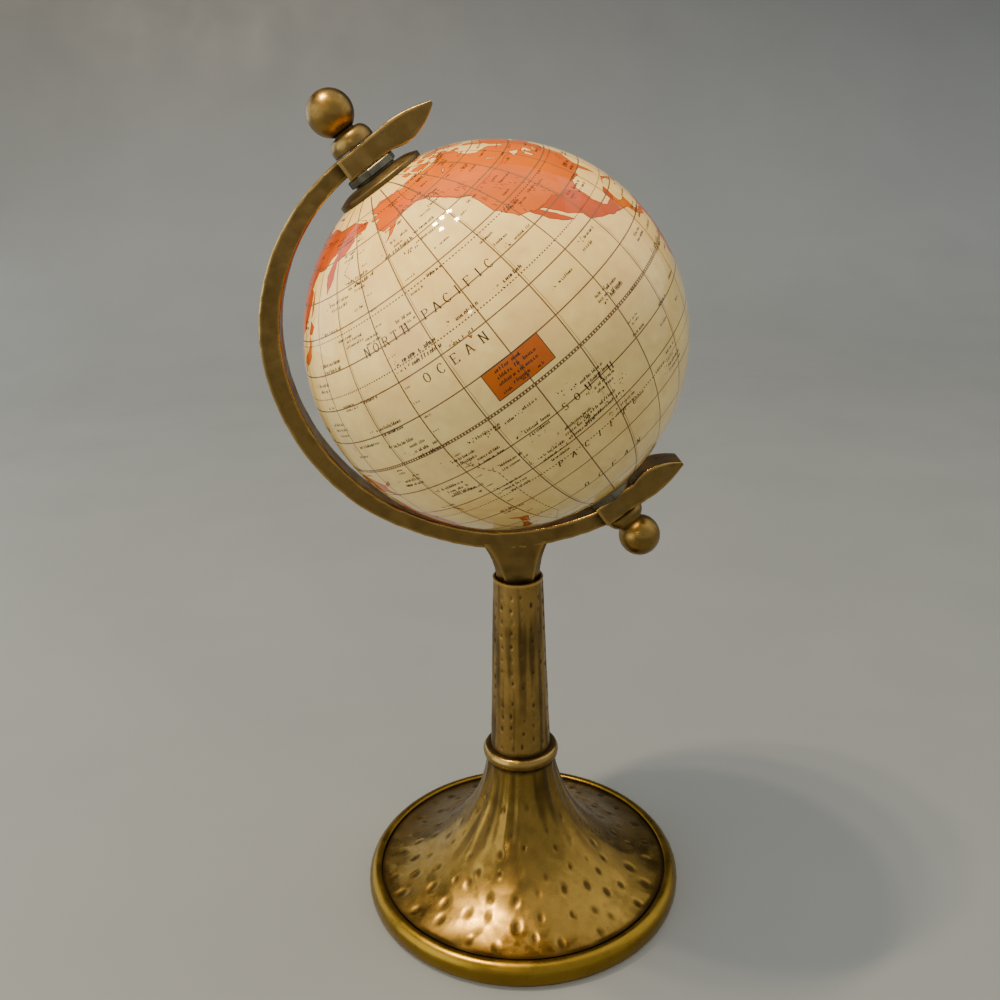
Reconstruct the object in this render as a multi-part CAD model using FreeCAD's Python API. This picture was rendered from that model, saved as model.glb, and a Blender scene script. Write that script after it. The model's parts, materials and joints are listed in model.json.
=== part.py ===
"""Desktop globe on a brass stand, in millimetres.

The origin is the centre of the foot on the table, +Z is up, and the arm lies in the XZ plane
with the north end of the tilted spindle towards -X.
"""
import FreeCAD, Part
import math
import os

Vector = FreeCAD.Vector

# ---------------------------------------------------------------- driving dimensions
GLOBE_R = 63.5             # outside of the printed map: a 5 inch globe
TILT = 34.5                # spindle from the vertical, degrees
GLOBE_X = -5.9             # globe centre from the stem's axis
GLOBE_Z = 218.0            # globe centre above the table

# stand, from the table up
FOOT_R = 61.1              # widest part of the foot ring
FOOT_LIFT = 0.6            # the ring clears the table, the felt touches it
FOOT_TOP = 9.3
FOOT_WALL_R = 57.4         # inside of the ring's wall
SEAT_R = 56.1              # recess that holds the rim of the bell
LEDGE_R = 49.0             # inner edge of the ledge under the bell
LEDGE_LOW = 5.8
LEDGE_TOP = 7.4
FELT_R = 57.0
FELT_T = 1.6
BALLAST_R = 56.8
BALLAST_BOSS_R = 22.0
BALLAST_BOSS_TOP = 14.0
RECESS_R = 9.0             # pocket for the nut, from below
RECESS_TOP = 8.0

BELL_RIM_R = 55.4
BELL_TOP = 57.0
BELL_WALL = 1.2
BELL_ARC_R = 54.8          # the trumpet curve is one arc about this centre
BELL_ARC_X = 67.6
BELL_ARC_Z = 62.0

COLLAR_R = 14.3
COLLAR_H = 4.8
SPIGOT_LOW_R = 11.6
SPIGOT_LOW_H = 4.0
SPIGOT_TOP_R = 9.9
SPIGOT_TOP_H = 4.5

STEM_LOW = BELL_TOP + COLLAR_H
STEM_TOP = 131.8
STEM_LOW_R = 11.5
STEM_TOP_R = 9.2
STEM_WALL = 1.2
STEM_LIP = 0.4

TIE_R = 3.0
TIE_LOW = 2.4
TIE_TOP = 125.0
TIE_HOLE_R = 3.05
WASHER_R = 8.0
WASHER_T = 1.0
NUT_FLATS = 10.0
NUT_H = 4.6

# arm: a flat bar bent round the globe, with a leaf at each end
ARM_DEPTH = 11.0
ARM_CHAMFER = 0.9
# bearing from the globe's centre in degrees, outside radius, thickness
ARM_STATIONS = (
    (128.5, 75.4, 5.6),
    (150.0, 76.9, 6.5),
    (173.0, 77.3, 6.9),
    (198.0, 75.4, 6.7),
    (225.0, 73.5, 6.4),
    (248.0, 72.1, 6.0),
    (270.0, 73.4, 6.3),
    (288.0, 74.8, 6.4),
    (300.5, 76.5, 6.4),
)
LEAF_LENGTH = 27.0         # tip of the leaf beyond the spindle
LEAF_ROOT = 7.0            # start of the leaf before the spindle
LEAF_FLAT = 9.0            # flat on both faces for the spindle's seats
LEAF_DEPTH = 13.0
NORTH_IN, NORTH_OUT, NORTH_TIP = 68.0, 75.3, 71.9
SOUTH_IN, SOUTH_OUT, SOUTH_TIP = 68.4, 76.4, 73.2
# neck: height, left and right ends of its front face, left and right sides, depth of the sides
NECK_SECTIONS = (
    (122.0, -5.2, 5.2, -7.8, 7.8, 1.2),
    (131.8, -5.2, 5.2, -7.8, 7.8, 1.2),
    (136.1, -6.5, 5.9, -8.6, 8.1, 2.4),
    (139.7, -7.9, 6.6, -9.5, 8.4, 3.6),
    (143.0, -9.6, 7.7, -10.9, 9.2, 4.6),
    (147.0, -12.4, 9.8, -13.0, 10.8, 5.0),
)
TANG_LOW = 112.0
TANG_TOP = 124.0
TANG_R = 7.9

# spindle and what turns on it
AXLE_R = 2.0
AXLE_HOLE_R = 2.05         # running fit in the hub bushes
AXLE_IN_BALL = 7.4
BALL_R = 7.4
BALL_RISE = 12.1           # ball's centre above the arm's outer face
BALL_NECK_R = 3.6
SEAT_RISE = 5.1
SEAT_BASE_R = 7.2
SEAT_HEAD_R = 4.6
SPACER_BOSS_R = 7.4
SPACER_BOSS_T = 0.5
SPACER_FLATS = 16.0
SPACER_TURN = 25.0         # degrees that brings a corner of the hexagon towards the front
CAP_GAP = 0.3
CAP_TOP = 64.7
CAP_R = 15.0
CAP_RIM_H = 1.5
CAP_FLAT_R = 10.5
CAP_HOLE_R = 2.4

PAPER_T = 0.4
GORES = 12
GORE_GAP = 0.06            # degrees between neighbouring gores
GORE_POLE_R = 9.0          # the gores stop under the pole caps
SHELL_R = GLOBE_R - PAPER_T
SHELL_T = 1.6
SHELL_HOLE_R = 5.2
BAND_T = 1.2
BAND_HALF = 6.0
BUSH_R = 5.1
BUSH_FLANGE_R = 9.0
BUSH_LOW = 59.0
BUSH_FLANGE_T = 1.5
BUSH_TOP = 63.1

TILT_RAD = math.radians(TILT)
AXIS = Vector(-math.sin(TILT_RAD), 0, math.cos(TILT_RAD))
ACROSS = Vector(math.cos(TILT_RAD), 0, math.sin(TILT_RAD))
CENTRE = Vector(GLOBE_X, 0, GLOBE_Z)
UP = Vector(0, 0, 1)


# ---------------------------------------------------------------- small helpers
def save(name, shape):
    """Write one named piece."""
    shape.exportStep("parts/" + name + ".step")


def line(a, b):
    return Part.LineSegment(Vector(*a), Vector(*b)).toShape()


def arc(a, middle, b):
    return Part.Arc(Vector(*a), Vector(*middle), Vector(*b)).toShape()


def polyline(points):
    """Edges that join the points and close the outline."""
    return [line(a, b) for a, b in zip(points, points[1:] + points[:1])]


def revolve(edges, angle=360.0):
    """Turn a closed outline, drawn in the XZ plane, about Z."""
    face = Part.Face(Part.Wire(Part.__sortEdges__(edges)))
    return face.revolve(Vector(0, 0, 0), UP, angle)


def turned(points):
    """Solid of revolution from (radius, height) points joined by straight lines."""
    return revolve(polyline([(r, 0, z) for r, z in points]))


def on_spindle(shape, south=False):
    """Carry a shape modelled about +Z at the origin to the globe's spindle."""
    placed = shape.copy()
    if south:
        placed.rotate(Vector(0, 0, 0), Vector(0, 1, 0), 180)
    placed.rotate(Vector(0, 0, 0), Vector(0, 1, 0), -TILT)
    placed.translate(CENTRE)
    return placed


def hexagon(flats, low, high):
    """Hexagonal prism about Z."""
    radius = flats / math.sqrt(3)
    corners = []
    for step in range(6):
        angle = math.radians(60 * step)
        corners.append((radius * math.cos(angle), radius * math.sin(angle), low))
    return Part.Face(Part.Wire(polyline(corners))).extrude(Vector(0, 0, high - low))


def cylinder(radius, low, high):
    return Part.makeCylinder(radius, high - low, Vector(0, 0, low))


def sphere_height(radius, r):
    """Height of a sphere's surface above its centre, at distance r from its axis."""
    return math.sqrt(radius ** 2 - r ** 2)


def sphere_arc(radius, r_from, r_to, side=1):
    """Arc of a sphere's outline between two distances from its axis."""
    middle = math.sin((math.asin(r_from / radius) + math.asin(r_to / radius)) / 2) * radius
    ends = [(r, 0, side * sphere_height(radius, r)) for r in (r_from, middle, r_to)]
    return arc(*ends)


# ---------------------------------------------------------------- stand
def foot_ring():
    low = FOOT_LIFT
    edges = [
        line((FOOT_WALL_R, 0, low), (FOOT_R - 0.9, 0, low)),
        arc((FOOT_R - 0.9, 0, low), (FOOT_R, 0, 4.6), (FOOT_R - 1.5, 0, FOOT_TOP - 1.1)),
        arc((FOOT_R - 1.5, 0, FOOT_TOP - 1.1), (FOOT_R - 3.2, 0, FOOT_TOP), (SEAT_R, 0, FOOT_TOP - 0.5)),
        line((SEAT_R, 0, FOOT_TOP - 0.5), (SEAT_R, 0, LEDGE_TOP)),
        line((SEAT_R, 0, LEDGE_TOP), (LEDGE_R, 0, LEDGE_TOP)),
        line((LEDGE_R, 0, LEDGE_TOP), (LEDGE_R, 0, LEDGE_LOW)),
        line((LEDGE_R, 0, LEDGE_LOW), (FOOT_WALL_R, 0, LEDGE_LOW)),
        line((FOOT_WALL_R, 0, LEDGE_LOW), (FOOT_WALL_R, 0, low)),
    ]
    return revolve(edges)


def felt_pad():
    return cylinder(FELT_R, 0, FELT_T)


def ballast_disc():
    body = cylinder(BALLAST_R, FELT_T, LEDGE_LOW)
    body = body.fuse(cylinder(BALLAST_BOSS_R, FELT_T, BALLAST_BOSS_TOP))
    body = body.cut(cylinder(RECESS_R, FELT_T - 1, RECESS_TOP))
    body = body.cut(cylinder(TIE_HOLE_R, 0, BALLAST_BOSS_TOP + 1))
    return body.removeSplitter()


def bell_height(r, wall=0.0):
    """Height of the bell's curve at radius r, for the outside or for the inside of its wall."""
    return BELL_ARC_Z - math.sqrt((BELL_ARC_R + wall) ** 2 - (BELL_ARC_X - r) ** 2)


def bell_radius(z, wall=0.0):
    """Radius of the bell's curve at height z."""
    return BELL_ARC_X - math.sqrt((BELL_ARC_R + wall) ** 2 - (BELL_ARC_Z - z) ** 2)


def base_bell():
    rim_out = (BELL_RIM_R, 0, bell_height(BELL_RIM_R))
    mid_r = 27.0
    top_out = (bell_radius(BELL_TOP), 0, BELL_TOP)
    top_in = (bell_radius(BELL_TOP, BELL_WALL), 0, BELL_TOP)
    rim_in_r = BELL_RIM_R - BELL_WALL
    rim_in = (rim_in_r, 0, bell_height(rim_in_r, BELL_WALL))
    edges = [
        arc(rim_out, (mid_r, 0, bell_height(mid_r)), top_out),
        line(top_out, top_in),
        arc(top_in, (mid_r, 0, bell_height(mid_r, BELL_WALL)), rim_in),
    ]
    if rim_in[2] > LEDGE_TOP:
        edges.append(line(rim_in, (rim_in_r, 0, LEDGE_TOP)))
    edges.append(line((rim_in_r, 0, LEDGE_TOP), (BELL_RIM_R, 0, LEDGE_TOP)))
    edges.append(line((BELL_RIM_R, 0, LEDGE_TOP), rim_out))
    return revolve(edges)


def collar_ring():
    low = BELL_TOP
    high = BELL_TOP + COLLAR_H
    bead_in = COLLAR_R - 1.5
    edges = [
        line((TIE_HOLE_R, 0, low - SPIGOT_LOW_H), (SPIGOT_LOW_R, 0, low - SPIGOT_LOW_H)),
        line((SPIGOT_LOW_R, 0, low - SPIGOT_LOW_H), (SPIGOT_LOW_R, 0, low)),
        line((SPIGOT_LOW_R, 0, low), (bead_in, 0, low)),
        arc((bead_in, 0, low), (COLLAR_R, 0, (low + high) / 2), (bead_in, 0, high)),
        line((bead_in, 0, high), (SPIGOT_TOP_R, 0, high)),
        line((SPIGOT_TOP_R, 0, high), (SPIGOT_TOP_R, 0, high + SPIGOT_TOP_H)),
        line((SPIGOT_TOP_R, 0, high + SPIGOT_TOP_H), (TIE_HOLE_R, 0, high + SPIGOT_TOP_H)),
        line((TIE_HOLE_R, 0, high + SPIGOT_TOP_H), (TIE_HOLE_R, 0, low - SPIGOT_LOW_H)),
    ]
    return revolve(edges)


def stem_tube():
    return turned([
        (STEM_LOW_R, STEM_LOW),
        (STEM_TOP_R, STEM_TOP - STEM_LIP),
        (STEM_TOP_R - STEM_LIP, STEM_TOP),
        (STEM_TOP_R - STEM_WALL, STEM_TOP),
        (STEM_LOW_R - STEM_WALL, STEM_LOW),
    ])


def tie_rod():
    return cylinder(TIE_R, TIE_LOW, TIE_TOP)


def tie_washer():
    return cylinder(WASHER_R, RECESS_TOP - WASHER_T, RECESS_TOP).cut(cylinder(TIE_HOLE_R, 0, 20))


def tie_nut():
    high = RECESS_TOP - WASHER_T
    nut = hexagon(NUT_FLATS, high - NUT_H, high)
    dome = Part.makeCone(NUT_FLATS * 0.72, NUT_FLATS * 0.5, 1.6, Vector(0, 0, high - 1.6), UP)
    dome = dome.fuse(cylinder(NUT_FLATS, high - NUT_H, high - 1.6))
    return nut.common(dome).cut(cylinder(TIE_HOLE_R, 0, 20))


# ---------------------------------------------------------------- arm
def polar(bearing, radius):
    """Point in the arm's plane, from its bearing and distance at the globe's centre."""
    angle = math.radians(bearing)
    return CENTRE + Vector(radius * math.cos(angle), 0, radius * math.sin(angle))


def by_spindle(across, along):
    """Point in the arm's plane, across and along the spindle from the globe's centre."""
    return CENTRE + ACROSS * across + AXIS * along


def spline(points):
    curve = Part.BSplineCurve()
    curve.interpolate(points)
    return curve.toShape()


def leaf(inner, outer, tip, side):
    """Leaf-shaped end of the arm, drawn across and along the spindle."""
    def at(across, along):
        return by_spindle(across, side * along)

    root_out = at(-LEAF_ROOT, outer - 0.3)
    root_in = at(-LEAF_ROOT, inner)
    shoulder = at(LEAF_FLAT, outer)
    point_out = at(LEAF_LENGTH, tip + 0.5)
    point_in = at(LEAF_LENGTH, tip - 0.5)
    belly = at(LEAF_FLAT, inner)
    return across_y([
        Part.makeLine(root_out, shoulder),
        Part.Arc(shoulder, at(17, outer - 0.2), point_out).toShape(),
        Part.makeLine(point_out, point_in),
        Part.Arc(point_in, at(18, inner - 0.9), belly).toShape(),
        Part.makeLine(belly, root_in),
        Part.makeLine(root_in, root_out),
    ], LEAF_DEPTH)


def bevel(prism, size):
    """Chamfer the curved edges that run round the two flat faces of a prism."""
    rims = []
    for edge in prism.Edges:
        if edge.BoundBox.YLength < 0.01 and edge.Curve.TypeId != "Part::GeomLine":
            rims.append(edge)
    return prism.makeChamfer(size, rims)


def across_y(edges, depth):
    """Prism of an outline in the arm's plane, centred on that plane."""
    face = Part.Face(Part.Wire(Part.__sortEdges__(edges)))
    prism = face.extrude(Vector(0, depth, 0))
    prism.translate(Vector(0, -depth / 2, 0))
    return prism


def neck_outline(z, front_left, front_right, left, right, side_depth):
    """Eight-sided outline of the neck at one height."""
    half = ARM_DEPTH / 2
    return [
        Vector(front_left, -half, z), Vector(front_right, -half, z),
        Vector(right, -side_depth, z), Vector(right, side_depth, z),
        Vector(front_right, half, z), Vector(front_left, half, z),
        Vector(left, side_depth, z), Vector(left, -side_depth, z),
    ]


def stacked(outlines):
    """Closed solid of triangles through outlines that lie one above the other."""
    faces = []
    for low, high in zip(outlines, outlines[1:]):
        count = len(low)
        for k in range(count):
            n = (k + 1) % count
            for corners in ((low[k], low[n], high[n]), (low[k], high[n], high[k])):
                faces.append(Part.Face(Part.makePolygon(list(corners) + [corners[0]])))
    for end in (outlines[0], outlines[-1]):
        faces.append(Part.Face(Part.makePolygon(end + [end[0]])))
    solid = Part.Solid(Part.makeShell(faces))
    if solid.Volume < 0:
        solid.reverse()
    return solid


def arm():
    outside = [polar(b, r) for b, r, t in ARM_STATIONS]
    inside = [polar(b, r - t) for b, r, t in ARM_STATIONS]
    bar = across_y([
        spline(outside),
        spline(inside),
        Part.makeLine(outside[0], inside[0]),
        Part.makeLine(outside[-1], inside[-1]),
    ], ARM_DEPTH)
    bar = bevel(bar, ARM_CHAMFER)
    north = leaf(NORTH_IN, NORTH_OUT, NORTH_TIP, 1)
    south = leaf(SOUTH_IN, SOUTH_OUT, SOUTH_TIP, -1)

    neck = stacked([neck_outline(*row) for row in NECK_SECTIONS])
    tang = cylinder(TANG_R, TANG_LOW, TANG_TOP)
    body = bar.fuse([neck, tang, north, south]).removeSplitter()
    body = body.cut(cylinder(TIE_HOLE_R, TANG_LOW - 1, TIE_TOP + 1))
    body = body.cut(on_spindle(cylinder(AXLE_HOLE_R, -SOUTH_OUT - 8, NORTH_OUT + 8)))
    return body


# ---------------------------------------------------------------- spindle hardware
def axle_rod():
    low = -(SOUTH_OUT + BALL_RISE - BALL_R + AXLE_IN_BALL - 1.0)
    high = NORTH_OUT + BALL_RISE - BALL_R + AXLE_IN_BALL - 1.0
    return cylinder(AXLE_R, low, high)


def finial_ball(seat):
    """Ball with a short neck, drilled from below for the end of the spindle."""
    middle = seat + BALL_RISE
    ball = Part.makeSphere(BALL_R, Vector(0, 0, middle))
    ball = ball.fuse(cylinder(BALL_NECK_R, seat + SEAT_RISE, middle))
    return ball.cut(cylinder(AXLE_HOLE_R, seat, seat + BALL_RISE - BALL_R + AXLE_IN_BALL))


def finial_seat(seat):
    """Domed washer under a ball."""
    head = seat + SEAT_RISE
    edges = [
        line((AXLE_HOLE_R, 0, seat), (SEAT_BASE_R, 0, seat)),
        arc((SEAT_BASE_R, 0, seat), (SEAT_BASE_R - 0.45, 0, seat + 2.9), (SEAT_HEAD_R, 0, head)),
        line((SEAT_HEAD_R, 0, head), (AXLE_HOLE_R, 0, head)),
        line((AXLE_HOLE_R, 0, head), (AXLE_HOLE_R, 0, seat)),
    ]
    return revolve(edges)


def spacer(face):
    """Hexagonal spacer between the arm and a pole cap, with a small round boss on the cap's side."""
    low = CAP_TOP + CAP_GAP
    nut = hexagon(SPACER_FLATS, low + SPACER_BOSS_T, face)
    nut.rotate(Vector(0, 0, 0), UP, SPACER_TURN)
    body = cylinder(SPACER_BOSS_R, low, low + SPACER_BOSS_T).fuse(nut)
    return body.cut(cylinder(AXLE_HOLE_R, 0, face + 1))


def pole_cap():
    """Turned cap that sits on the paper round the pole."""
    seat = sphere_height(GLOBE_R, CAP_R)
    rim = seat + CAP_RIM_H
    crown_r = (CAP_R + CAP_FLAT_R) / 2 + 0.7
    crown_z = (rim + CAP_TOP) / 2 + 0.35
    edges = [
        sphere_arc(GLOBE_R, CAP_HOLE_R, CAP_R),
        line((CAP_R, 0, seat), (CAP_R + 0.1, 0, rim)),
        arc((CAP_R + 0.1, 0, rim), (crown_r, 0, crown_z), (CAP_FLAT_R, 0, CAP_TOP)),
        line((CAP_FLAT_R, 0, CAP_TOP), (CAP_HOLE_R, 0, CAP_TOP)),
        line((CAP_HOLE_R, 0, CAP_TOP), (CAP_HOLE_R, 0, sphere_height(GLOBE_R, CAP_HOLE_R))),
    ]
    return revolve(edges)


def hub_bush():
    """Flanged bush, pressed into the pole of a half shell from inside."""
    return turned([
        (AXLE_HOLE_R, BUSH_LOW),
        (BUSH_FLANGE_R, BUSH_LOW),
        (BUSH_FLANGE_R, BUSH_LOW + BUSH_FLANGE_T),
        (BUSH_R, BUSH_LOW + BUSH_FLANGE_T),
        (BUSH_R, BUSH_TOP),
        (AXLE_HOLE_R, BUSH_TOP),
    ])


# ---------------------------------------------------------------- globe
def half_shell():
    """Northern half shell: a hollow hemisphere with a hole at the pole."""
    inner = SHELL_R - SHELL_T
    edges = [
        sphere_arc(SHELL_R, SHELL_HOLE_R, SHELL_R),
        line((SHELL_R, 0, 0), (inner, 0, 0)),
        sphere_arc(inner, SHELL_HOLE_R, inner),
        line((SHELL_HOLE_R, 0, sphere_height(inner, SHELL_HOLE_R)),
             (SHELL_HOLE_R, 0, sphere_height(SHELL_R, SHELL_HOLE_R))),
    ]
    return revolve(edges)


def equator_band():
    """Ring inside the equator that holds the two half shells in line."""
    outer = SHELL_R - SHELL_T
    edge_r = sphere_height(outer, BAND_HALF)
    inner = edge_r - BAND_T
    edges = [
        arc((edge_r, 0, -BAND_HALF), (outer, 0, 0), (edge_r, 0, BAND_HALF)),
        line((edge_r, 0, BAND_HALF), (inner, 0, BAND_HALF)),
        line((inner, 0, BAND_HALF), (inner, 0, -BAND_HALF)),
        line((inner, 0, -BAND_HALF), (edge_r, 0, -BAND_HALF)),
    ]
    return revolve(edges)


def map_gores():
    """Twelve pointed paper strips, from pole to pole."""
    pole_out = sphere_height(GLOBE_R, GORE_POLE_R)
    pole_in = sphere_height(SHELL_R, GORE_POLE_R)
    edges = [
        arc((GORE_POLE_R, 0, pole_out), (GLOBE_R, 0, 0), (GORE_POLE_R, 0, -pole_out)),
        line((GORE_POLE_R, 0, -pole_out), (GORE_POLE_R, 0, -pole_in)),
        arc((GORE_POLE_R, 0, -pole_in), (SHELL_R, 0, 0), (GORE_POLE_R, 0, pole_in)),
        line((GORE_POLE_R, 0, pole_in), (GORE_POLE_R, 0, pole_out)),
    ]
    gore = revolve(edges, 360.0 / GORES - GORE_GAP)
    strips = []
    for number in range(GORES):
        strip = gore.copy()
        strip.rotate(Vector(0, 0, 0), UP, number * 360.0 / GORES)
        strips.append(strip)
    return Part.makeCompound(strips)


def main():
    os.makedirs("parts", exist_ok=True)
    save("foot_ring", foot_ring())
    save("felt_pad", felt_pad())
    save("ballast_disc", ballast_disc())
    save("base_bell", base_bell())
    save("collar_ring", collar_ring())
    save("stem_tube", stem_tube())
    save("tie_rod", tie_rod())
    save("tie_washer", tie_washer())
    save("tie_nut", tie_nut())
    save("arm", arm())

    save("axle_rod", on_spindle(axle_rod()))
    save("north_finial_ball", on_spindle(finial_ball(NORTH_OUT)))
    save("south_finial_ball", on_spindle(finial_ball(SOUTH_OUT), south=True))
    save("north_finial_washer", on_spindle(finial_seat(NORTH_OUT)))
    save("south_finial_washer", on_spindle(finial_seat(SOUTH_OUT), south=True))
    save("north_spacer", on_spindle(spacer(NORTH_IN)))
    save("south_spacer", on_spindle(spacer(SOUTH_IN), south=True))

    save("north_hemisphere", on_spindle(half_shell()))
    save("south_hemisphere", on_spindle(half_shell(), south=True))
    save("equator_band", on_spindle(equator_band()))
    save("map_gores", on_spindle(map_gores()))
    save("north_pole_cap", on_spindle(pole_cap()))
    save("south_pole_cap", on_spindle(pole_cap(), south=True))
    save("north_hub_bush", on_spindle(hub_bush()))
    save("south_hub_bush", on_spindle(hub_bush(), south=True))


main()
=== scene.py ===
import json
import math
import random

import bmesh
import bpy
from mathutils import Matrix, Vector, noise
from mathutils.geometry import delaunay_2d_cdt
from mathutils.kdtree import KDTree


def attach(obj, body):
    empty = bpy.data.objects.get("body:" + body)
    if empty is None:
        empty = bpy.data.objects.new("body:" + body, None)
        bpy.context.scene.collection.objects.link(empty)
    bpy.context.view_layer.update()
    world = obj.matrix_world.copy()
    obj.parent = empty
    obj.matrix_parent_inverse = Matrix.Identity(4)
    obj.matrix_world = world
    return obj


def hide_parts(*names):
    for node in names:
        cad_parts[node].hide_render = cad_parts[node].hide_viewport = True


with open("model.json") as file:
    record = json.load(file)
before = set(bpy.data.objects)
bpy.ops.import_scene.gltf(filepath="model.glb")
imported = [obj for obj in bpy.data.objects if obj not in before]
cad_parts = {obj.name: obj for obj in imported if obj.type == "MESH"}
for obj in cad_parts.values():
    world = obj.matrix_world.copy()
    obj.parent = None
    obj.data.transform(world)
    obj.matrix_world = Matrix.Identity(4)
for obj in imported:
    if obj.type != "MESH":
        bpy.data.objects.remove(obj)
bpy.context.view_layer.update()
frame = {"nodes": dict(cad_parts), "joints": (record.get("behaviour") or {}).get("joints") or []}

MM = 0.001

# ---------------------------------------------------------------- the frame's geometry
SPIN = frame["joints"][0]
CENTRE = Vector(SPIN["pos_m"])
NORTH = Vector(SPIN["axis"]).normalized()
ACROSS = Vector((NORTH.z, 0, -NORTH.x))


def by_spindle(across, along, depth=0.0):
    """Point in millimetres across and along the spindle from the ball's centre, and in depth (+Y)."""
    return CENTRE + (ACROSS * across + NORTH * along + Vector((0, depth, 0))) * MM


def polar(bearing, radius, depth=0.0):
    """Point in the arm's plane from its bearing in degrees and its distance from the ball's centre."""
    angle = math.radians(bearing)
    return CENTRE + Vector((radius * math.cos(angle), depth, radius * math.sin(angle))) * MM


def smoothstep(low, high, value):
    t = min(1.0, max(0.0, (value - low) / (high - low)))
    return t * t * (3 - 2 * t)


def mix(a, b, t):
    return a + (b - a) * t


def turned(r, turn, z):
    """Point at a radius and a turn round the upright axis, and at a height."""
    return Vector((r * math.cos(turn), r * math.sin(turn), z))


def turns(columns):
    """Angles of evenly spaced columns round a part."""
    return [2 * math.pi * j / columns for j in range(columns)]


def placed(name, data):
    """A new object in the scene that shows some data."""
    obj = bpy.data.objects.new(name, data)
    bpy.context.scene.collection.objects.link(obj)
    return obj


def paint(data, material):
    """Make a material the only one of some mesh data."""
    data.materials.clear()
    data.materials.append(material)


# ---------------------------------------------------------------- node helpers
class Nodes:
    """A short way to build a material's nodes."""

    def __init__(self, name):
        self.material = bpy.data.materials.new(name)
        self.material.use_nodes = True
        self.tree = self.material.node_tree
        self.shader = self.tree.nodes["Principled BSDF"]
        self.place = self.add("ShaderNodeTexCoord").outputs["Object"]

    def add(self, kind, **values):
        node = self.tree.nodes.new(kind)
        for key, value in values.items():
            setattr(node, key, value)
        return node

    def link(self, source, target):
        self.tree.links.new(source, target)

    def set(self, **values):
        """Values of the shader's own sockets, with underscores for spaces."""
        for key, value in values.items():
            self.shader.inputs[key.replace("_", " ")].default_value = value

    def noise(self, scale, detail=4.0, rough=0.55):
        node = self.add("ShaderNodeTexNoise")
        node.inputs["Scale"].default_value = scale
        node.inputs["Detail"].default_value = detail
        node.inputs["Roughness"].default_value = rough
        self.link(self.place, node.inputs["Vector"])
        return node.outputs["Fac"]

    def span(self, value, low, high, to_low=0.0, to_high=1.0):
        node = self.add("ShaderNodeMapRange")
        for socket, number in zip(node.inputs[1:5], (low, high, to_low, to_high)):
            socket.default_value = number
        self.link(value, node.inputs[0])
        return node.outputs[0]

    def math(self, operation, a, b):
        node = self.add("ShaderNodeMath", operation=operation)
        for socket, value in zip(node.inputs, (a, b)):
            if isinstance(value, (int, float)):
                socket.default_value = value
            else:
                self.link(value, socket)
        return node.outputs[0]

    def blend(self, factor, a, b, mode="MIX"):
        node = self.add("ShaderNodeMix", data_type="RGBA", blend_type=mode)
        if isinstance(factor, (int, float)):
            node.inputs[0].default_value = factor
        else:
            self.link(factor, node.inputs[0])
        for socket, value in zip((node.inputs[6], node.inputs[7]), (a, b)):
            if isinstance(value, tuple):
                socket.default_value = (*value, 1.0)
            else:
                self.link(value, socket)
        return node.outputs[2]

    def attribute(self, name):
        return self.add("ShaderNodeAttribute", attribute_name=name)

    def bump(self, height, distance, strength=1.0):
        node = self.add("ShaderNodeBump")
        node.inputs["Strength"].default_value = strength
        node.inputs["Distance"].default_value = distance
        self.link(height, node.inputs["Height"])
        self.link(node.outputs["Normal"], self.shader.inputs["Normal"])

    def colour(self, source):
        self.link(source, self.shader.inputs["Base Color"])

    def roughness(self, source):
        self.link(source, self.shader.inputs["Roughness"])


# ---------------------------------------------------------------- materials
def brass(name, bright, middle, dark, rough_low, rough_high, patina, grain):
    """Antique brass. The point attribute it reads is 1 in grimy hollows and in painted shade at joints,
    undersides and bores, and -1 on edges lit by rubbing and by a painted highlight.
    """
    n = Nodes(name)
    n.set(Metallic=1.0)
    wear_and_painted_light = n.attribute("wear_and_painted_light").outputs["Fac"]
    broad = n.noise(38, 3)
    patches = n.noise(150, 5, 0.6)
    specks = n.noise(1100, 3, 0.6)
    cloud = n.math("ADD", n.span(broad, 0.3, 0.7, 0.0, 0.6), n.span(patches, 0.35, 0.7, 0.0, 0.4))
    tone = n.blend(cloud, middle, bright)
    grime = n.math("MULTIPLY", n.span(patches, 0.48, 0.72), 0.45 * patina)
    # Darker with the attribute: patina and grime, and painted shade at joints, undersides and bores
    sunk = n.math("MAXIMUM", n.span(wear_and_painted_light, 0.0, 1.0, 0.0, 0.93), grime)
    tone = n.blend(sunk, tone, dark)
    tone = n.blend(n.span(specks, 0.62, 0.75, 0.0, 0.35 * patina), tone, dark)
    # Lighter on edges: rubbed wear and a painted highlight
    rubbed_and_painted_highlight = n.span(wear_and_painted_light, 0.0, -1.0)
    tone = n.blend(rubbed_and_painted_highlight, tone, tuple(min(0.95, 1.45 * c) for c in bright))
    n.colour(tone)
    rough = n.math("ADD", n.span(patches, 0.3, 0.7, rough_low, rough_high), n.math("MULTIPLY", sunk, 0.22))
    n.roughness(n.math("SUBTRACT", rough, n.math("MULTIPLY", rubbed_and_painted_highlight, 0.08)))
    n.bump(n.math("ADD", n.math("MULTIPLY", patches, 0.7), n.math("MULTIPLY", specks, 0.3)), grain, 0.6)
    return n.material


def steel(name, light, dark, rough_low, rough_high):
    n = Nodes(name)
    n.set(Metallic=1.0)
    patches = n.noise(220, 5, 0.6)
    n.colour(n.blend(n.span(patches, 0.35, 0.68), dark, light))
    n.roughness(n.span(patches, 0.3, 0.7, rough_low, rough_high))
    n.bump(n.noise(900, 3), 0.00005, 0.5)
    return n.material


def plain(name, colour_noise, tones, rough_noise, rough, bump_noise, depth, strength, **values):
    """A material whose colour, roughness and bump each follow a noise of their own."""
    n = Nodes(name)
    n.set(**values)
    n.colour(n.blend(n.noise(*colour_noise), *tones))
    n.roughness(n.span(n.noise(*rough_noise), 0.3, 0.7, *rough))
    n.bump(n.noise(*bump_noise), depth, strength)
    return n.material


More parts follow.
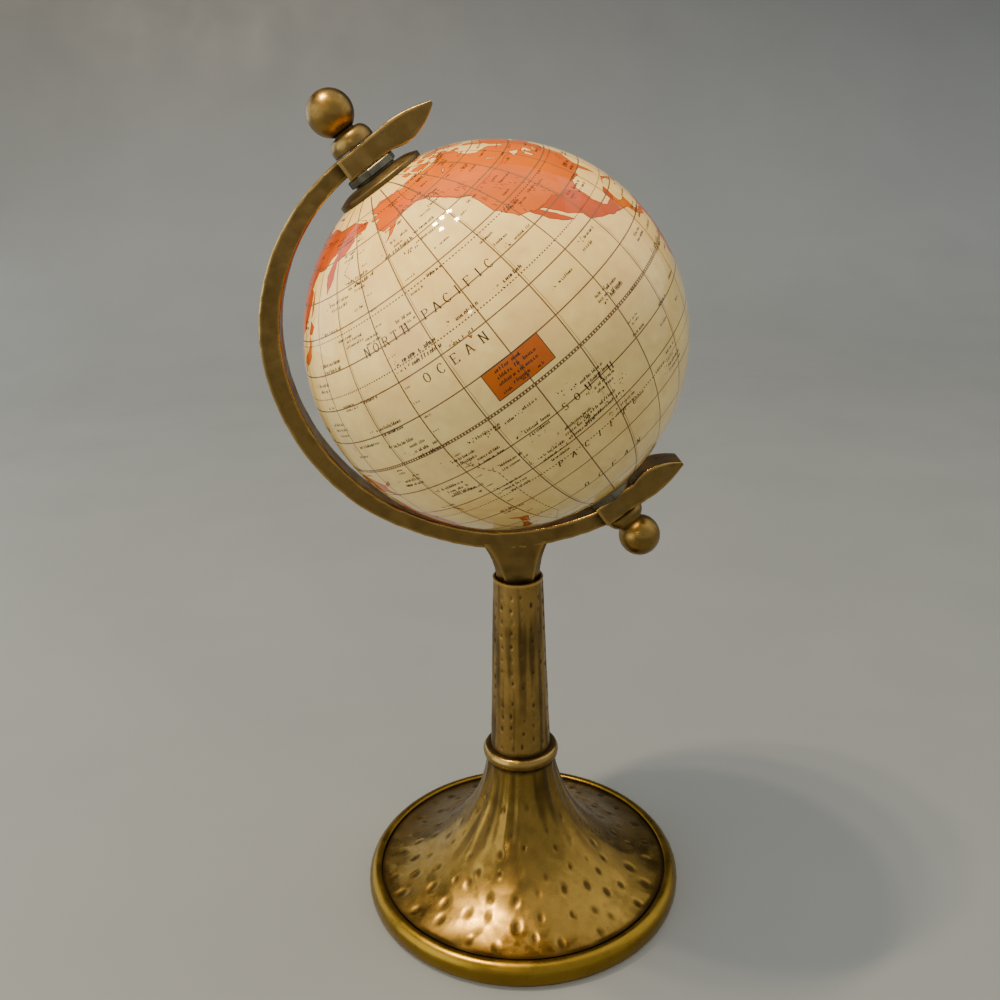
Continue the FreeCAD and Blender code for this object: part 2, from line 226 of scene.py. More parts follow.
def iron():
    tones = ((0.035, 0.032, 0.030), (0.085, 0.075, 0.065))
    return plain("cast_iron", (120, 6), tones, (300, 4), (0.55, 0.85), (700, 5), 0.0003, 0.8, Metallic=0.6)


def felt():
    tones = ((0.010, 0.045, 0.028), (0.030, 0.105, 0.065))
    return plain("green_felt", (900, 6, 0.7), tones, (500, 4), (0.85, 1.0), (1600, 5, 0.7), 0.0004, 1.0,
                 Sheen_Weight=0.5)


def board():
    tones = ((0.22, 0.15, 0.08), (0.38, 0.28, 0.17))
    return plain("pressed_board", (400, 6, 0.65), tones, (300, 4), (0.75, 0.95), (900, 5), 0.0002, 0.6)


def nylon():
    tones = ((0.62, 0.60, 0.50), (0.74, 0.72, 0.63))
    return plain("nylon", (260, 4), tones, (200, 3), (0.4, 0.55), (1200, 3), 0.00005, 0.4)


def printed_map():
    """Printed paper under a thick gloss lacquer. The print's colour is the mesh's tint attribute."""
    n = Nodes("printed_map")
    tint = n.attribute("tint").outputs["Color"]
    broad = n.noise(22, 4)
    fibre = n.noise(420, 5, 0.65)
    aged = n.blend(n.span(broad, 0.35, 0.75, 0.0, 0.30), tint, (0.93, 0.76, 0.50), "MULTIPLY")
    print_tone = n.blend(n.span(fibre, 0.30, 0.72, 0.0, 0.22), aged, (0.78, 0.62, 0.42), "MULTIPLY")
    n.colour(print_tone)
    n.roughness(n.span(fibre, 0.3, 0.7, 0.32, 0.48))
    n.set(Coat_Weight=1.0, Coat_Roughness=0.04, Coat_IOR=1.27, Specular_IOR_Level=0.04)
    n.bump(n.noise(60, 2), 0.00035, 0.35)
    return n.material


def floor_material():
    """Pale floor that darkens to grey up the wall."""
    n = Nodes("studio_floor")
    split = n.add("ShaderNodeSeparateXYZ")
    n.link(n.place, split.inputs[0])
    pale = n.blend(n.noise(9, 4), (0.140, 0.160, 0.175), (0.162, 0.182, 0.198))
    grey = n.blend(n.noise(5, 3), (0.026, 0.030, 0.036), (0.036, 0.040, 0.046))
    n.colour(n.blend(n.span(split.outputs["Z"], 0.10, 0.75), pale, grey))
    n.roughness(n.span(n.noise(12, 3), 0.3, 0.7, 0.5, 0.65))
    return n.material


# ---------------------------------------------------------------- mesh helpers
def finish_piece(obj, material, body, stands_for):
    """Shade a mesh object, ride it on a body and let it take the place of CAD nodes."""
    obj.data.shade_smooth()
    obj.data.set_sharp_from_angle(angle=math.radians(38))
    paint(obj.data, material)
    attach(obj, body)
    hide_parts(*stands_for)


def piece(name, verts, faces, material, body, stands_for, wear_and_painted_light):
    """A closed mesh that takes the place of CAD nodes."""
    obj = closed_object(name, verts, faces, wear_and_painted_light)
    finish_piece(obj, material, body, stands_for)
    return obj


def grid_faces(rows, columns):
    """Quads between rings of points."""
    faces = []
    for i in range(rows - 1):
        for j in range(columns):
            k = (j + 1) % columns
            a = i * columns
            b = a + columns
            faces.append((a + j, a + k, b + k, b + j))
    return faces


def ring_faces(rows, columns):
    """Quads between rings of points, and from the last ring back to the first."""
    faces = grid_faces(rows, columns)
    last = (rows - 1) * columns
    for j in range(columns):
        k = (j + 1) % columns
        faces.append((last + j, last + k, k, j))
    return faces


class Skin:
    """A surface as rows of points round a part, with an offset along the normal at each point."""

    def __init__(self, rows, columns):
        self.rows = rows
        self.columns = columns
        self.offset = [[0.0] * columns for _ in range(rows)]

    def dent(self, row, column, half_rows, half_columns, depth):
        """Oval hammer mark with a slightly raised rim, sizes in rows and columns."""
        reach = 1.5
        top = int(half_rows * reach) + 1
        side = int(half_columns * reach) + 1
        for i in range(int(row) - top, int(row) + top + 1):
            if not 0 <= i < self.rows:
                continue
            for j in range(int(column) - side, int(column) + side + 1):
                across = (j - column) / half_columns
                along = (i - row) / half_rows
                q = across * across + along * along
                if q < 1:
                    self.offset[i][j % self.columns] -= depth * (1 - q) ** 1.8
                elif q < reach * reach:
                    rim = math.sin(math.pi * (math.sqrt(q) - 1) / (reach - 1))
                    self.offset[i][j % self.columns] += 0.04 * depth * rim


# ---------------------------------------------------------------- stand: turned and hammered parts
BELL_ARC_X, BELL_ARC_Z, BELL_ARC_R = 67.6, 62.0, 54.8
BELL_RIM_R, BELL_TOP, BELL_WALL = 55.4, 57.0, 1.2
SEAT_Z = 7.4
# Where the bell's side starts and stops on its arc, and how long it is between them
BELL_LOW = math.acos((BELL_ARC_X - BELL_RIM_R) / BELL_ARC_R)
BELL_HIGH = math.asin((BELL_ARC_Z - BELL_TOP) / BELL_ARC_R)
BELL_LENGTH = BELL_ARC_R * (BELL_LOW - BELL_HIGH)
# Rings of dents: how far up the side from the rim, and how many dents go round
BELL_RINGS = ((6.0, 27), (14.0, 27), (22.0, 25), (30.0, 21), (38.0, 16), (46.0, 12), (54.0, 9))
FLUTES = 19
BELL_DISH = 9.0             # size of the soft dishes between the dents
BELL_INSET = 0.28           # brings the raised ridges back to about the true surface


def dish(point, size):
    """Shallow hammered dishes: 0 at a dish's centre, 1 on the ridges between dishes."""
    distances = noise.voronoi(Vector(point) / size)[0]
    return min(1.0, distances[0] * 1.25) ** 2


def streaks(turn, z):
    """Grime that runs down a hammered part: 0 where it is clean, up to about 0.7."""
    fine = noise.noise(turned(5.5, turn, z * 0.035))
    coarse = noise.noise(turned(2.1, turn, z * 0.05 + 9))
    return 0.7 * smoothstep(-0.15, 0.55, fine + 0.6 * coarse)


def bell_dents(rows, columns):
    """Staggered rings of oval dents that get smaller and shallower up the bell."""
    step = BELL_LENGTH / (rows - 1)
    skin = Skin(rows, columns)
    rng = random.Random(11)
    for number, (distance, count) in enumerate(BELL_RINGS):
        height = distance / BELL_LENGTH
        for k in range(count):
            row = (distance + rng.uniform(-2.2, 2.2)) / step
            column = (k + 0.5 * (number % 2) + rng.uniform(-0.25, 0.25)) * columns / count
            angle = mix(BELL_LOW, BELL_HIGH, row / (rows - 1))
            pitch = 2 * math.pi * (BELL_ARC_X - BELL_ARC_R * math.cos(angle)) / columns
            grown = rng.uniform(0.75, 1.2)
            half_long = grown * mix(3.2, 2.2, height)
            half_wide = grown * mix(2.2, 1.35, height)
            depth = rng.uniform(0.18, 0.36) * mix(1.0, 0.5, height)
            skin.dent(row, column, half_long / step, half_wide / pitch, depth)
    return skin


def base_bell(material):
    """Trumpet of hammered sheet: oval dents below, soft flutes up the neck."""
    rows, columns = 118, 560
    skin = bell_dents(rows, columns)
    verts, wear_and_painted_light = [], []
    for i in range(rows):
        angle = mix(BELL_LOW, BELL_HIGH, i / (rows - 1))
        r = BELL_ARC_X - BELL_ARC_R * math.cos(angle)
        z = BELL_ARC_Z - BELL_ARC_R * math.sin(angle)
        normal_r, normal_z = math.cos(angle), math.sin(angle)
        up = i / (rows - 1)
        edge = smoothstep(0, 3, i) * smoothstep(0, 2, rows - 1 - i)
        for j, turn in enumerate(turns(columns)):
            spot = (r * math.cos(turn), r * math.sin(turn), z)
            flute = 0.20 * math.cos(FLUTES * turn + 1.6 * math.sin(3 * turn)) * smoothstep(0.30, 0.75, up)
            planish = 0.17 * dish(spot, BELL_DISH) + 0.22 * noise.noise(Vector(spot) * 0.11)
            raised = skin.offset[i][j] * edge + (flute + planish - BELL_INSET) * edge
            verts.append(turned(r + normal_r * raised, turn, z + normal_z * raised) * MM)
            sunk = 0.85 * smoothstep(0.02, 0.24, -skin.offset[i][j])
            # Painted shade: darker along the bell's lowest and highest rows, where it meets the foot ring
            # and the collar
            painted_joint_shade = max(smoothstep(4, 0, i), smoothstep(4, 0, rows - 1 - i))
            streak = streaks(turn, z) * smoothstep(0.15, 0.6, up)
            wear_and_painted_light.append(min(1.0, max(sunk, painted_joint_shade, streak)))
    profile = [(bell_inner(z), z) for z in (BELL_TOP, 48.0, 38.0, 28.0, 20.0, 14.0, 10.5)]
    profile.append((BELL_RIM_R - BELL_WALL, SEAT_Z))
    profile.append((BELL_RIM_R, SEAT_Z))
    # Painted shade: the inside of the wall and its foot are darkest
    for r, z in profile:
        verts += [turned(r, turn, z) * MM for turn in turns(columns)]
        wear_and_painted_light += [1.0] * columns
    faces = ring_faces(rows + len(profile), columns)
    return piece("hammered_bell", verts, faces, material, "stand", ["base_bell"], wear_and_painted_light)


def bell_inner(z):
    """Inside radius of the bell at a height."""
    return BELL_ARC_X - math.sqrt((BELL_ARC_R + BELL_WALL) ** 2 - (BELL_ARC_Z - z) ** 2)


BORE_R = 4.0        # anything narrower than this is a bore and stays true


def lathe(name, profile, columns, material, body, stands_for, place=None, wobble=0.0):
    """Closed solid of revolution from (radius, height, wear and painted light) points, with slight hammered
    wobble.
    """
    verts, wear_and_painted_light = [], []
    for r, z, worn_and_painted_light in profile:
        for turn in turns(columns):
            grow = wobble * noise.noise(turned(r, turn, z) * 0.35) if r > BORE_R else 0.0
            spot = turned(r + grow, turn, z)
            verts.append(place(spot) if place else spot * MM)
            wear_and_painted_light.append(worn_and_painted_light)
    faces = ring_faces(len(profile), columns)
    return piece(name, verts, faces, material, body, stands_for, wear_and_painted_light)


def foot_ring(material):
    low = 0.6
    # Painted shade on the underside and lower outside by the floor, and on the inner seat under the bell
    profile = [(57.4, low, 1.0), (59.6, low, 0.9)]
    profile += [(60.2, 0.75, 0.7), (60.7, 1.3, 0.4), (60.95, 2.2, 0.1), (61.08, 3.4, 0.0), (61.1, 4.6, 0.0)]
    profile += [(61.0, 5.8, 0.0), (60.6, 7.0, 0.0), (60.0, 7.9, 0.0), (59.2, 8.7, 0.0), (58.3, 9.15, 0.0)]
    profile += [(57.4, 9.28, 0.0), (56.7, 9.15, 0.1), (56.3, 8.9, 0.5), (56.1, 8.4, 0.9)]
    profile += [(56.1, SEAT_Z, 1.0), (49.0, SEAT_Z, 1.0), (49.0, 5.8, 1.0), (57.4, 5.8, 1.0)]
    return lathe("turned_foot_ring", profile, 360, material, "stand", ["foot_ring"],
                 wobble=0.07)


def ring_solid(name, profile, material, stands_for, side=1, body="stand", columns=160, wobble=0.0):
    """Turned part on the globe's spindle, at its north end (side 1) or its south end (side -1)."""
    def place(spot):
        return by_spindle(spot.x, side * spot.z, side * spot.y)
    return lathe(name, profile, columns, material, body, stands_for, place, wobble)


def collar(material):
    bead_in, middle = 12.8, BELL_TOP + 2.4
    # Painted shade in the bore, underneath, and in the cup round the stem; the bead has none
    profile = [(3.1, BELL_TOP - 4.0, 1.0), (11.6, BELL_TOP - 4.0, 1.0), (11.6, BELL_TOP, 1.0)]
    profile += [(bead_in, BELL_TOP, 1.0)]
    for k in range(1, 24):
        angle = math.pi * (k / 24 - 0.5)
        tool = 0.05 * math.sin(7 * angle)
        profile.append((bead_in + (1.5 + tool) * math.cos(angle), middle + 2.4 * math.sin(angle), 0.0))
    profile += [(bead_in, BELL_TOP + 4.8, 0.6), (11.2, BELL_TOP + 4.6, 1.0), (9.9, BELL_TOP + 4.8, 1.0)]
    profile += [(9.9, BELL_TOP + 9.3, 1.0), (3.1, BELL_TOP + 9.3, 1.0)]
    return lathe("turned_collar", profile, 220, material, "stand", ["collar_ring"],
                 wobble=0.06)


STEM_LOW, STEM_TOP = 61.8, 131.8
STEM_LOW_R, STEM_TOP_R = 11.5, 9.2
STEM_LINES = 16             # upright lines of dents round the stem
MISSED = 0.10               # share of the stem's dents that are left out
STEM_INSET = 0.14           # brings the raised facets back to about the true surface


def stem_dents(rows, columns):
    """Upright lines of small punched ovals, a few of them missed."""
    skin = Skin(rows, columns)
    step = (STEM_TOP - STEM_LOW) / (rows - 1)
    rng = random.Random(23)
    for line in range(STEM_LINES):
        distance = rng.uniform(2.0, 5.0)
        while distance < STEM_TOP - STEM_LOW - 2.5:
            pitch = 2 * math.pi * mix(STEM_LOW_R, STEM_TOP_R, distance / 70) / columns
            column = (line + rng.uniform(-0.13, 0.13)) * columns / STEM_LINES
            half_long = rng.uniform(1.5, 2.2) / step
            half_wide = rng.uniform(0.85, 1.2) / pitch
            if rng.random() > MISSED:
                skin.dent(distance / step, column, half_long, half_wide, rng.uniform(0.14, 0.30))
            distance += rng.uniform(3.8, 5.6)
    return skin


def stem_tube(material):
    """Tapered tube with upright lines of dents and soft facets."""
    rows, columns = 215, 264
    skin = stem_dents(rows, columns)
    verts, wear_and_painted_light = [], []
    for i in range(rows):
        up = i / (rows - 1)
        z = mix(STEM_LOW, STEM_TOP - 0.15, up)
        r = mix(STEM_LOW_R, STEM_TOP_R, up)
        edge = smoothstep(0, 3, i) * smoothstep(0, 3, rows - 1 - i)
        for j, turn in enumerate(turns(columns)):
            drift = 0.5 * noise.noise(Vector((3 * turn, z * 0.05, 0)))
            facet = 0.11 * abs(math.cos(STEM_LINES * turn / 2 + drift))
            wave = 0.10 * noise.noise(turned(2.6, turn, z * 0.13))
            out = r - STEM_INSET + edge * (skin.offset[i][j] + wave - facet * 0.8) + (1 - edge) * 0.05
            verts.append(turned(out, turn, z) * MM)
            sunk = 0.9 * smoothstep(0.03, 0.26, -skin.offset[i][j])
            lip = smoothstep(5, 0, rows - 1 - i)
            # Painted shade on the lowest rows, down in the collar's cup; the top lip is made bright
            wear_and_painted_light.append(mix(max(sunk, streaks(turn, z), smoothstep(9, 0, i)), -0.8, lip))
    rim = [(STEM_TOP_R - 0.45, STEM_TOP - 0.02), (STEM_TOP_R - 0.9, STEM_TOP - 0.1)]
    rim += [(STEM_TOP_R - 1.2, STEM_TOP - 0.5), (STEM_TOP_R - 1.2, 124.5), (STEM_LOW_R - 1.2, STEM_LOW)]
    # The outer rim ring is made bright; the inside of the tube gets painted shade
    for number, (r, z) in enumerate(rim):
        verts += [turned(r, turn, z) * MM for turn in turns(columns)]
        wear_and_painted_light += [-0.6 if number == 0 else 1.0] * columns
    faces = ring_faces(rows + len(rim), columns)
    return piece("hammered_stem", verts, faces, material, "stand", ["stem_tube"], wear_and_painted_light)


# ---------------------------------------------------------------- stand: the arm
ARM_HALF = 5.5
ARM_DISH, ARM_SINK = 5.2, 0.16      # size of the hammer blows and how far they sink the surface
ARM_STATIONS = (
    (128.5, 75.4, 5.6), (150.0, 76.9, 6.5), (173.0, 77.3, 6.9), (198.0, 75.4, 6.7), (225.0, 73.5, 6.4),
    (248.0, 72.1, 6.0), (270.0, 73.4, 6.3), (288.0, 74.8, 6.4), (300.5, 76.5, 6.4),
)
LEAF_ROOT, LEAF_FLAT, LEAF_LENGTH = -7.0, 9.0, 27.0
# Neck: height, left and right ends of its front face, left and right sides, depth of the sides
NECK_SECTIONS = (
    (122.0, -5.2, 5.2, -7.8, 7.8, 1.2), (131.8, -5.2, 5.2, -7.8, 7.8, 1.2),
    (136.1, -6.5, 5.9, -8.6, 8.1, 2.4), (139.7, -7.9, 6.6, -9.5, 8.4, 3.6),
    (143.0, -9.6, 7.7, -10.9, 9.2, 4.6), (147.0, -12.4, 9.8, -13.0, 10.8, 5.0),
)


def arm_at(bearing):
    """Outside radius and thickness of the bar at a bearing, on a smooth curve through the stations."""
    last = len(ARM_STATIONS) - 1
    k = 0
    while k < last - 1 and bearing > ARM_STATIONS[k + 1][0]:
        k += 1
    x0, x1 = ARM_STATIONS[k][0], ARM_STATIONS[k + 1][0]
    t = (bearing - x0) / (x1 - x0)
    values = []
    for field in (1, 2):
        def slope(i):
            a, b = ARM_STATIONS[max(i - 1, 0)], ARM_STATIONS[min(i + 1, last)]
            return (b[field] - a[field]) / (b[0] - a[0])
        y0, y1 = ARM_STATIONS[k][field], ARM_STATIONS[k + 1][field]
        m0, m1 = slope(k) * (x1 - x0), slope(k + 1) * (x1 - x0)
        values.append((2 * t**3 - 3 * t**2 + 1) * y0 + (t**3 - 2 * t**2 + t) * m0
                      + (3 * t**2 - 2 * t**3) * y1 + (t**3 - t**2) * m1)
    return values


def through(x, points):
    """Height at x of the parabola through three points."""
    (x0, y0), (x1, y1), (x2, y2) = points
    return (y0 * (x - x1) * (x - x2) / ((x0 - x1) * (x0 - x2))
            + y1 * (x - x0) * (x - x2) / ((x1 - x0) * (x1 - x2))
            + y2 * (x - x0) * (x - x1) / ((x2 - x0) * (x2 - x1)))


def scallops(seed, count, step, pitch, low, high):
    """How far hammer blows have taken an edge back at each station along it."""
    rng = random.Random(seed)
    cuts, at = [], 0.0
    start, width, depth = 0.0, pitch, mix(low, high, 0.5)
    while len(cuts) < count:
        if at > start + width:
            start, width = start + width, pitch * rng.uniform(0.65, 1.35)
            depth = rng.uniform(low, high)
        t = (at - start) / width
        cuts.append(low * 0.7 + (depth - low * 0.7) * max(0.0, 1 - (2 * t - 1) ** 2) ** 0.6)
        at += step
    return cuts


def bar_section(low, high, half, cuts):
    """Section of a chamfered bar as (height, depth, edge) points. The cuts are its corners' chamfers."""
    corners = ((high, -half), (high, half), (low, half), (low, -half))
    counts = (13, 9, 13, 9)
    points = []
    for k in range(4):
        (h0, d0), (h1, d1) = corners[k], corners[(k + 1) % 4]
        size = abs(h1 - h0) + abs(d1 - d0)
        a, b = cuts[k] / size, 1 - cuts[(k + 1) % 4] / size
        for i in range(counts[k]):
            t = mix(a, b, i / (counts[k] - 1))
            edge = 1.0 if i in (0, counts[k] - 1) else 0.0
            points.append((mix(h0, h1, t), mix(d0, d1, t), edge))
        t_end = (mix(h0, h1, b), mix(d0, d1, b))
        (h2, d2) = corners[(k + 2) % 4]
        size_next = abs(h2 - h1) + abs(d2 - d1)
        t_next = (mix(h1, h2, cuts[(k + 1) % 4] / size_next), mix(d1, d2, cuts[(k + 1) % 4] / size_next))
        for f in (0.33, 0.67):
            round_out = 0.10 * cuts[(k + 1) % 4]
            points.append((mix(t_end[0], t_next[0], f) + math.copysign(round_out, h1 - (low + high) / 2),
                           mix(t_end[1], t_next[1], f) + math.copysign(round_out, d1), 1.0))
    return points


def loft(name, sections, seed):
    """Closed mesh through sections of (points, place, painted light and grime). Place maps (height, depth)
    to a spot.
    """
    verts, wear_and_painted_light = [], []
    columns = len(sections[0][0])
    for points, place, painted_light_and_grime in sections:
        middle = sum(p[0] for p in points) / columns
        for height, depth, edge in points:
            spot = place(height, depth)
            blow = dish(spot / MM + Vector((seed, 0, 0)), ARM_DISH) - 0.55
            sink = ARM_SINK + ARM_SINK * blow
            inward = Vector((middle - height, -depth))
            if inward.length > 1e-6:
                inward.normalize()
            verts.append(place(height + inward.x * sink, depth + inward.y * sink))
            # Patina in the hammer dishes plus the section's painted light and grime; corner edges are
            # brightened by rubbed wear and a painted highlight
            worn_and_painted_light = 0.45 * max(0.0, -blow) + painted_light_and_grime
            wear_and_painted_light.append(mix(worn_and_painted_light, -0.8, edge * (1 - 0.5 * painted_light_and_grime)))
    rows = len(sections)
    faces = grid_faces(rows, columns)
    for first in (0, (rows - 1) * columns):
        centre = sum((verts[first + j] for j in range(columns)), Vector()) / columns
        verts.append(centre)
        wear_and_painted_light.append(0.0)
        for j in range(columns):
            faces.append((first + j, first + (j + 1) % columns, len(verts) - 1))
    return closed_object(name, verts, faces, wear_and_painted_light)


def closed_object(name, verts, faces, wear_and_painted_light):
    """A mesh object that isn't a piece yet, with its faces turned outwards."""
    mesh = bpy.data.meshes.new(name)
    mesh.from_pydata([tuple(v) for v in verts], [], faces)
    layer = mesh.attributes.new("wear_and_painted_light", "FLOAT", "POINT")
    layer.data.foreach_set("value", wear_and_painted_light)
    outwards(mesh)
    return placed(name, mesh)


def outwards(mesh):
    """Turn the faces of a closed mesh outwards."""
    work = bmesh.new()
    work.from_mesh(mesh)
    bmesh.ops.recalc_face_normals(work, faces=work.faces)
    work.to_mesh(mesh)
    work.free()


def arm_bar():
    count = 520
    length = 225.0
    step = length / count
    edges = [scallops(40 + k, count, step, 7.5, 0.30, 0.60) for k in range(4)]
    sections = []
    for i in range(count):
        bearing = mix(ARM_STATIONS[0][0], ARM_STATIONS[-1][0], i / (count - 1))
        outer, thickness = arm_at(bearing)
        cuts = [edges[k][i] for k in range(4)]
        points = bar_section(outer - thickness, outer, ARM_HALF, cuts)
        # Painted shadow on the bar where it meets the leaf blocks at each end
        painted_light_and_grime = 0.9 * max(smoothstep(134, 130, bearing), smoothstep(296, 299.5, bearing))
        sections.append((points, lambda h, d, b=bearing: polar(b, h, d), painted_light_and_grime))
    return loft("arm_bar", sections, 0)


def arm_leaf(name, side, inner, outer, tip, seed):
    """Leaf-shaped end: a block on the spindle, a slight waist, and a curved blade to a blunt tip."""
    count = 110
    span = LEAF_LENGTH - LEAF_ROOT
    edges = [scallops(seed + k, count, span / count, 8.0, 0.25, 0.45) for k in range(4)]
    top = ((LEAF_FLAT, outer), (17, outer - 0.2), (LEAF_LENGTH, tip + 0.5))
    bottom = ((LEAF_FLAT, inner), (18, inner - 0.9), (LEAF_LENGTH, tip - 0.5))
    sections = []
    for i in range(count):
        u = LEAF_ROOT + span * i / (count - 1)
        high = through(u, top) if u > LEAF_FLAT else mix(outer - 0.3, outer, (u - LEAF_ROOT) / 16)
        low = through(u, bottom) if u > LEAF_FLAT else inner
        half = 6.5 - 0.5 * math.exp(-((u - 2.5) / 2.4) ** 2) - 0.9 * smoothstep(16, LEAF_LENGTH, u)
        thin = min(1.0, (high - low) / 3.0)
        cuts = [edges[k][i] * thin * 0.8 for k in range(4)]
        points = bar_section(low, high, half, cuts)
        # Painted highlight along the end of the leaf's block
        painted_light_and_grime = -0.8 if i < 4 else 0.0
        sections.append((points, lambda h, d, u=u: by_spindle(u, side * h, d), painted_light_and_grime))
    return loft(name, sections, seed)


def neck_section(z):
    """Eight-sided section of the neck at a height, as (across, depth, edge) points."""
    rows = NECK_SECTIONS
    k = max(i for i in range(len(rows) - 1) if z >= rows[i][0] or i == 0)
    t = min(1.0, (z - rows[k][0]) / (rows[k + 1][0] - rows[k][0]))
    front_left, front_right, left, right, side = [mix(a, b, t) for a, b in zip(rows[k][1:], rows[k + 1][1:])]
    corners = [(front_left, -ARM_HALF), (front_right, -ARM_HALF), (right, -side), (right, side),
               (front_right, ARM_HALF), (front_left, ARM_HALF), (left, side), (left, -side)]
    points = []
    for (x0, y0), (x1, y1) in zip(corners, corners[1:] + corners[:1]):
        for i in range(10):
            edge = 1.0 if i == 0 and y0 != -side and y0 != side else 0.0
            points.append((mix(x0, x1, i / 10), mix(y0, y1, i / 10), edge))
    return points


def arm_neck():
    """Neck that drops from the bar into the stem's top, with chamfers that widen downwards."""
    sections = []
    for i in range(90):
        z = mix(122.5, 146.8, i / 89)
        # On the neck this value is only grime, in darker bands at random up its height
        painted_light_and_grime = 0.35 * smoothstep(-0.2, 0.5, noise.noise(Vector((0, 7, z * 0.2))))
        sections.append((neck_section(z), lambda h, d, z=z: Vector((h, d, z)) * MM, painted_light_and_grime))
    return loft("arm_neck", sections, 5)


def union(parts):
    """One closed mesh object from overlapping ones. Each point takes the wear and painted light of the
    nearest old point.
    """
    spots, values = [], []
    for part in parts:
        spots += [v.co.copy() for v in part.data.vertices]
        values += [item.value for item in part.data.attributes["wear_and_painted_light"].data]
    tree = KDTree(len(spots))
    for k, spot in enumerate(spots):
        tree.insert(spot, k)
    tree.balance()
    first = parts[0]
    for other in parts[1:]:
        modifier = first.modifiers.new("join", "BOOLEAN")
        modifier.operation = "UNION"
        modifier.solver = "EXACT"
        modifier.object = other
        joined = first.evaluated_get(bpy.context.evaluated_depsgraph_get())
        mesh = bpy.data.meshes.new_from_object(joined)
        first.modifiers.clear()
        first.data = mesh
        bpy.data.objects.remove(other)
    wear_and_painted_light = [values[tree.find(v.co)[1]] for v in first.data.vertices]
    first.data.attributes["wear_and_painted_light"].data.foreach_set("value", wear_and_painted_light)
    return first


def arm(material):
    north = arm_leaf("north_leaf", 1, 68.0, 75.3, 71.9, 61)
    south = arm_leaf("south_leaf", -1, 68.4, 76.4, 73.2, 71)
    obj = union([arm_bar(), arm_neck(), north, south])
    obj.name = "hammered_arm"
    finish_piece(obj, material, "stand", ["arm"])
    return obj


# ---------------------------------------------------------------- spindle hardware
BALL_R, BALL_RISE = 7.4, 12.1
GROUND_R = 63.5


def on_ball(r):
    """Height of the ball's surface at distance r from the spindle."""
    return math.sqrt(GROUND_R**2 - r**2)


def finial_ball(name, side, seat, node, material):
    middle = seat + BALL_RISE
    # Painted shade in the bore and at the foot where the ball meets the washer
    profile = [(2.1, seat + 5.1, 1.0), (3.6, seat + 5.1, 1.0), (3.5, seat + 5.4, 1.0)]
    start = -math.acos(3.5 / BALL_R)
    for k in range(44):
        angle = mix(start, math.pi / 2, k / 44)
        painted_joint_shade = smoothstep(5, 0, k)
        profile.append((BALL_R * math.cos(angle), middle + BALL_R * math.sin(angle), painted_joint_shade))
    profile.append((0.02, middle + BALL_R, 0.0))
    profile.append((0.02, seat + 11.0, 1.0))
    profile.append((2.1, seat + 11.0, 1.0))
    return ring_solid(name, profile, material, [node], side)


def finial_washer(name, side, seat, node, material):
    """Domed washer with a small bead at its foot."""
    # Painted shade under the washer where it sits on the leaf, and up the dome under the ball
    profile = [(2.1, seat, 1.0), (6.8, seat, 1.0), (7.1, seat + 0.15, 0.6), (7.15, seat + 0.6, 0.0)]
    for k in range(1, 20):
        angle = mix(0.0, 1.42, k / 19)
        r, z = 4.35 + 2.8 * math.cos(angle), seat + 0.9 + 4.1 * math.sin(angle)
        profile.append((r, z, 0.5 * (k / 19) ** 4))
    profile += [(4.5, seat + 5.05, 0.8), (4.0, seat + 5.1, 1.0), (2.1, seat + 5.1, 1.0)]
    return ring_solid(name, profile, material, [node], side, wobble=0.05)


def pole_cap(name, side, node, material):
    """Turned cap on the paper: an upright rim, a shallow cone with tool marks, and a flat top."""
    # Painted shade on the underside and where the cap meets the paper; its rims are made bright
    profile = [(2.4, 64.7, 1.0), (10.0, 64.7, 0.2), (10.5, 64.66, -0.3)]
    for k in range(1, 26):
        t = k / 26
        r = mix(10.5, 15.0, t)
        z = 64.66 - 1.42 * t**1.35 + 0.02 * math.sin(60 * t)
        profile.append((r, z, 0.05 * math.sin(40 * t)))
    profile += [(15.08, 63.1, -0.5), (15.1, 62.8, -0.2), (15.05, 62.0, 0.3), (15.0, on_ball(15) + 0.02, 1.0)]
    for r in (12.0, 9.0, 6.0, 2.4):
        profile.append((r, on_ball(r), 1.0))
    return ring_solid(name, profile, material, [node], side, body="globe", columns=200)


def spacer(name, side, face, node, material):
    """Hexagonal block with softened corners, on a small round boss."""
    verts, wear_and_painted_light = [], []
    columns = 216
    low = 65.0

    def ring(radius_at, z, worn_and_painted_light):
        for turn in turns(columns):
            r = radius_at(turn)
            verts.append(by_spindle(r * math.cos(turn), side * z, side * r * math.sin(turn)))
            wear_and_painted_light.append(worn_and_painted_light)

    def hexagon(grow):
        def radius(turn):
            away = (turn - math.radians(25) + math.pi / 6) % (math.pi / 3) - math.pi / 6
            flat = (8.0 + grow) / math.cos(math.pi / 6 - abs(away))
            return min(flat, 9.12 + grow)
        return radius

    def circle(r):
        return lambda turn: r

    # Painted shade at the end by the pole cap, a little at the leaf's end, and in the bore
    ring(circle(2.1), low, 1.0)
    ring(circle(7.3), low, 1.0)
    ring(circle(7.4), low + 0.5, 1.0)
    ring(hexagon(-0.4), low + 0.55, 0.7)
    ring(hexagon(-0.02), low + 0.8, 0.0)
    ring(hexagon(-0.02), face - 0.3, 0.0)
    ring(hexagon(-0.25), face - 0.03, 0.3)
    ring(circle(2.1), face - 0.03, 1.0)
    faces = ring_faces(len(verts) // columns, columns)
    return piece(name, verts, faces, material, "stand", [node], wear_and_painted_light)


# ---------------------------------------------------------------- the printed map
# Outlines are rough geography in degrees, "longitude,latitude" from point to point. The print's west edge
# is 169 W, so longitudes run from -169 to 191.
WEST, EAST, POLE_LAT = -169.0, 191.0, 81.9
FRONT_LON = -153.8          # the meridian that faces -Y at rest
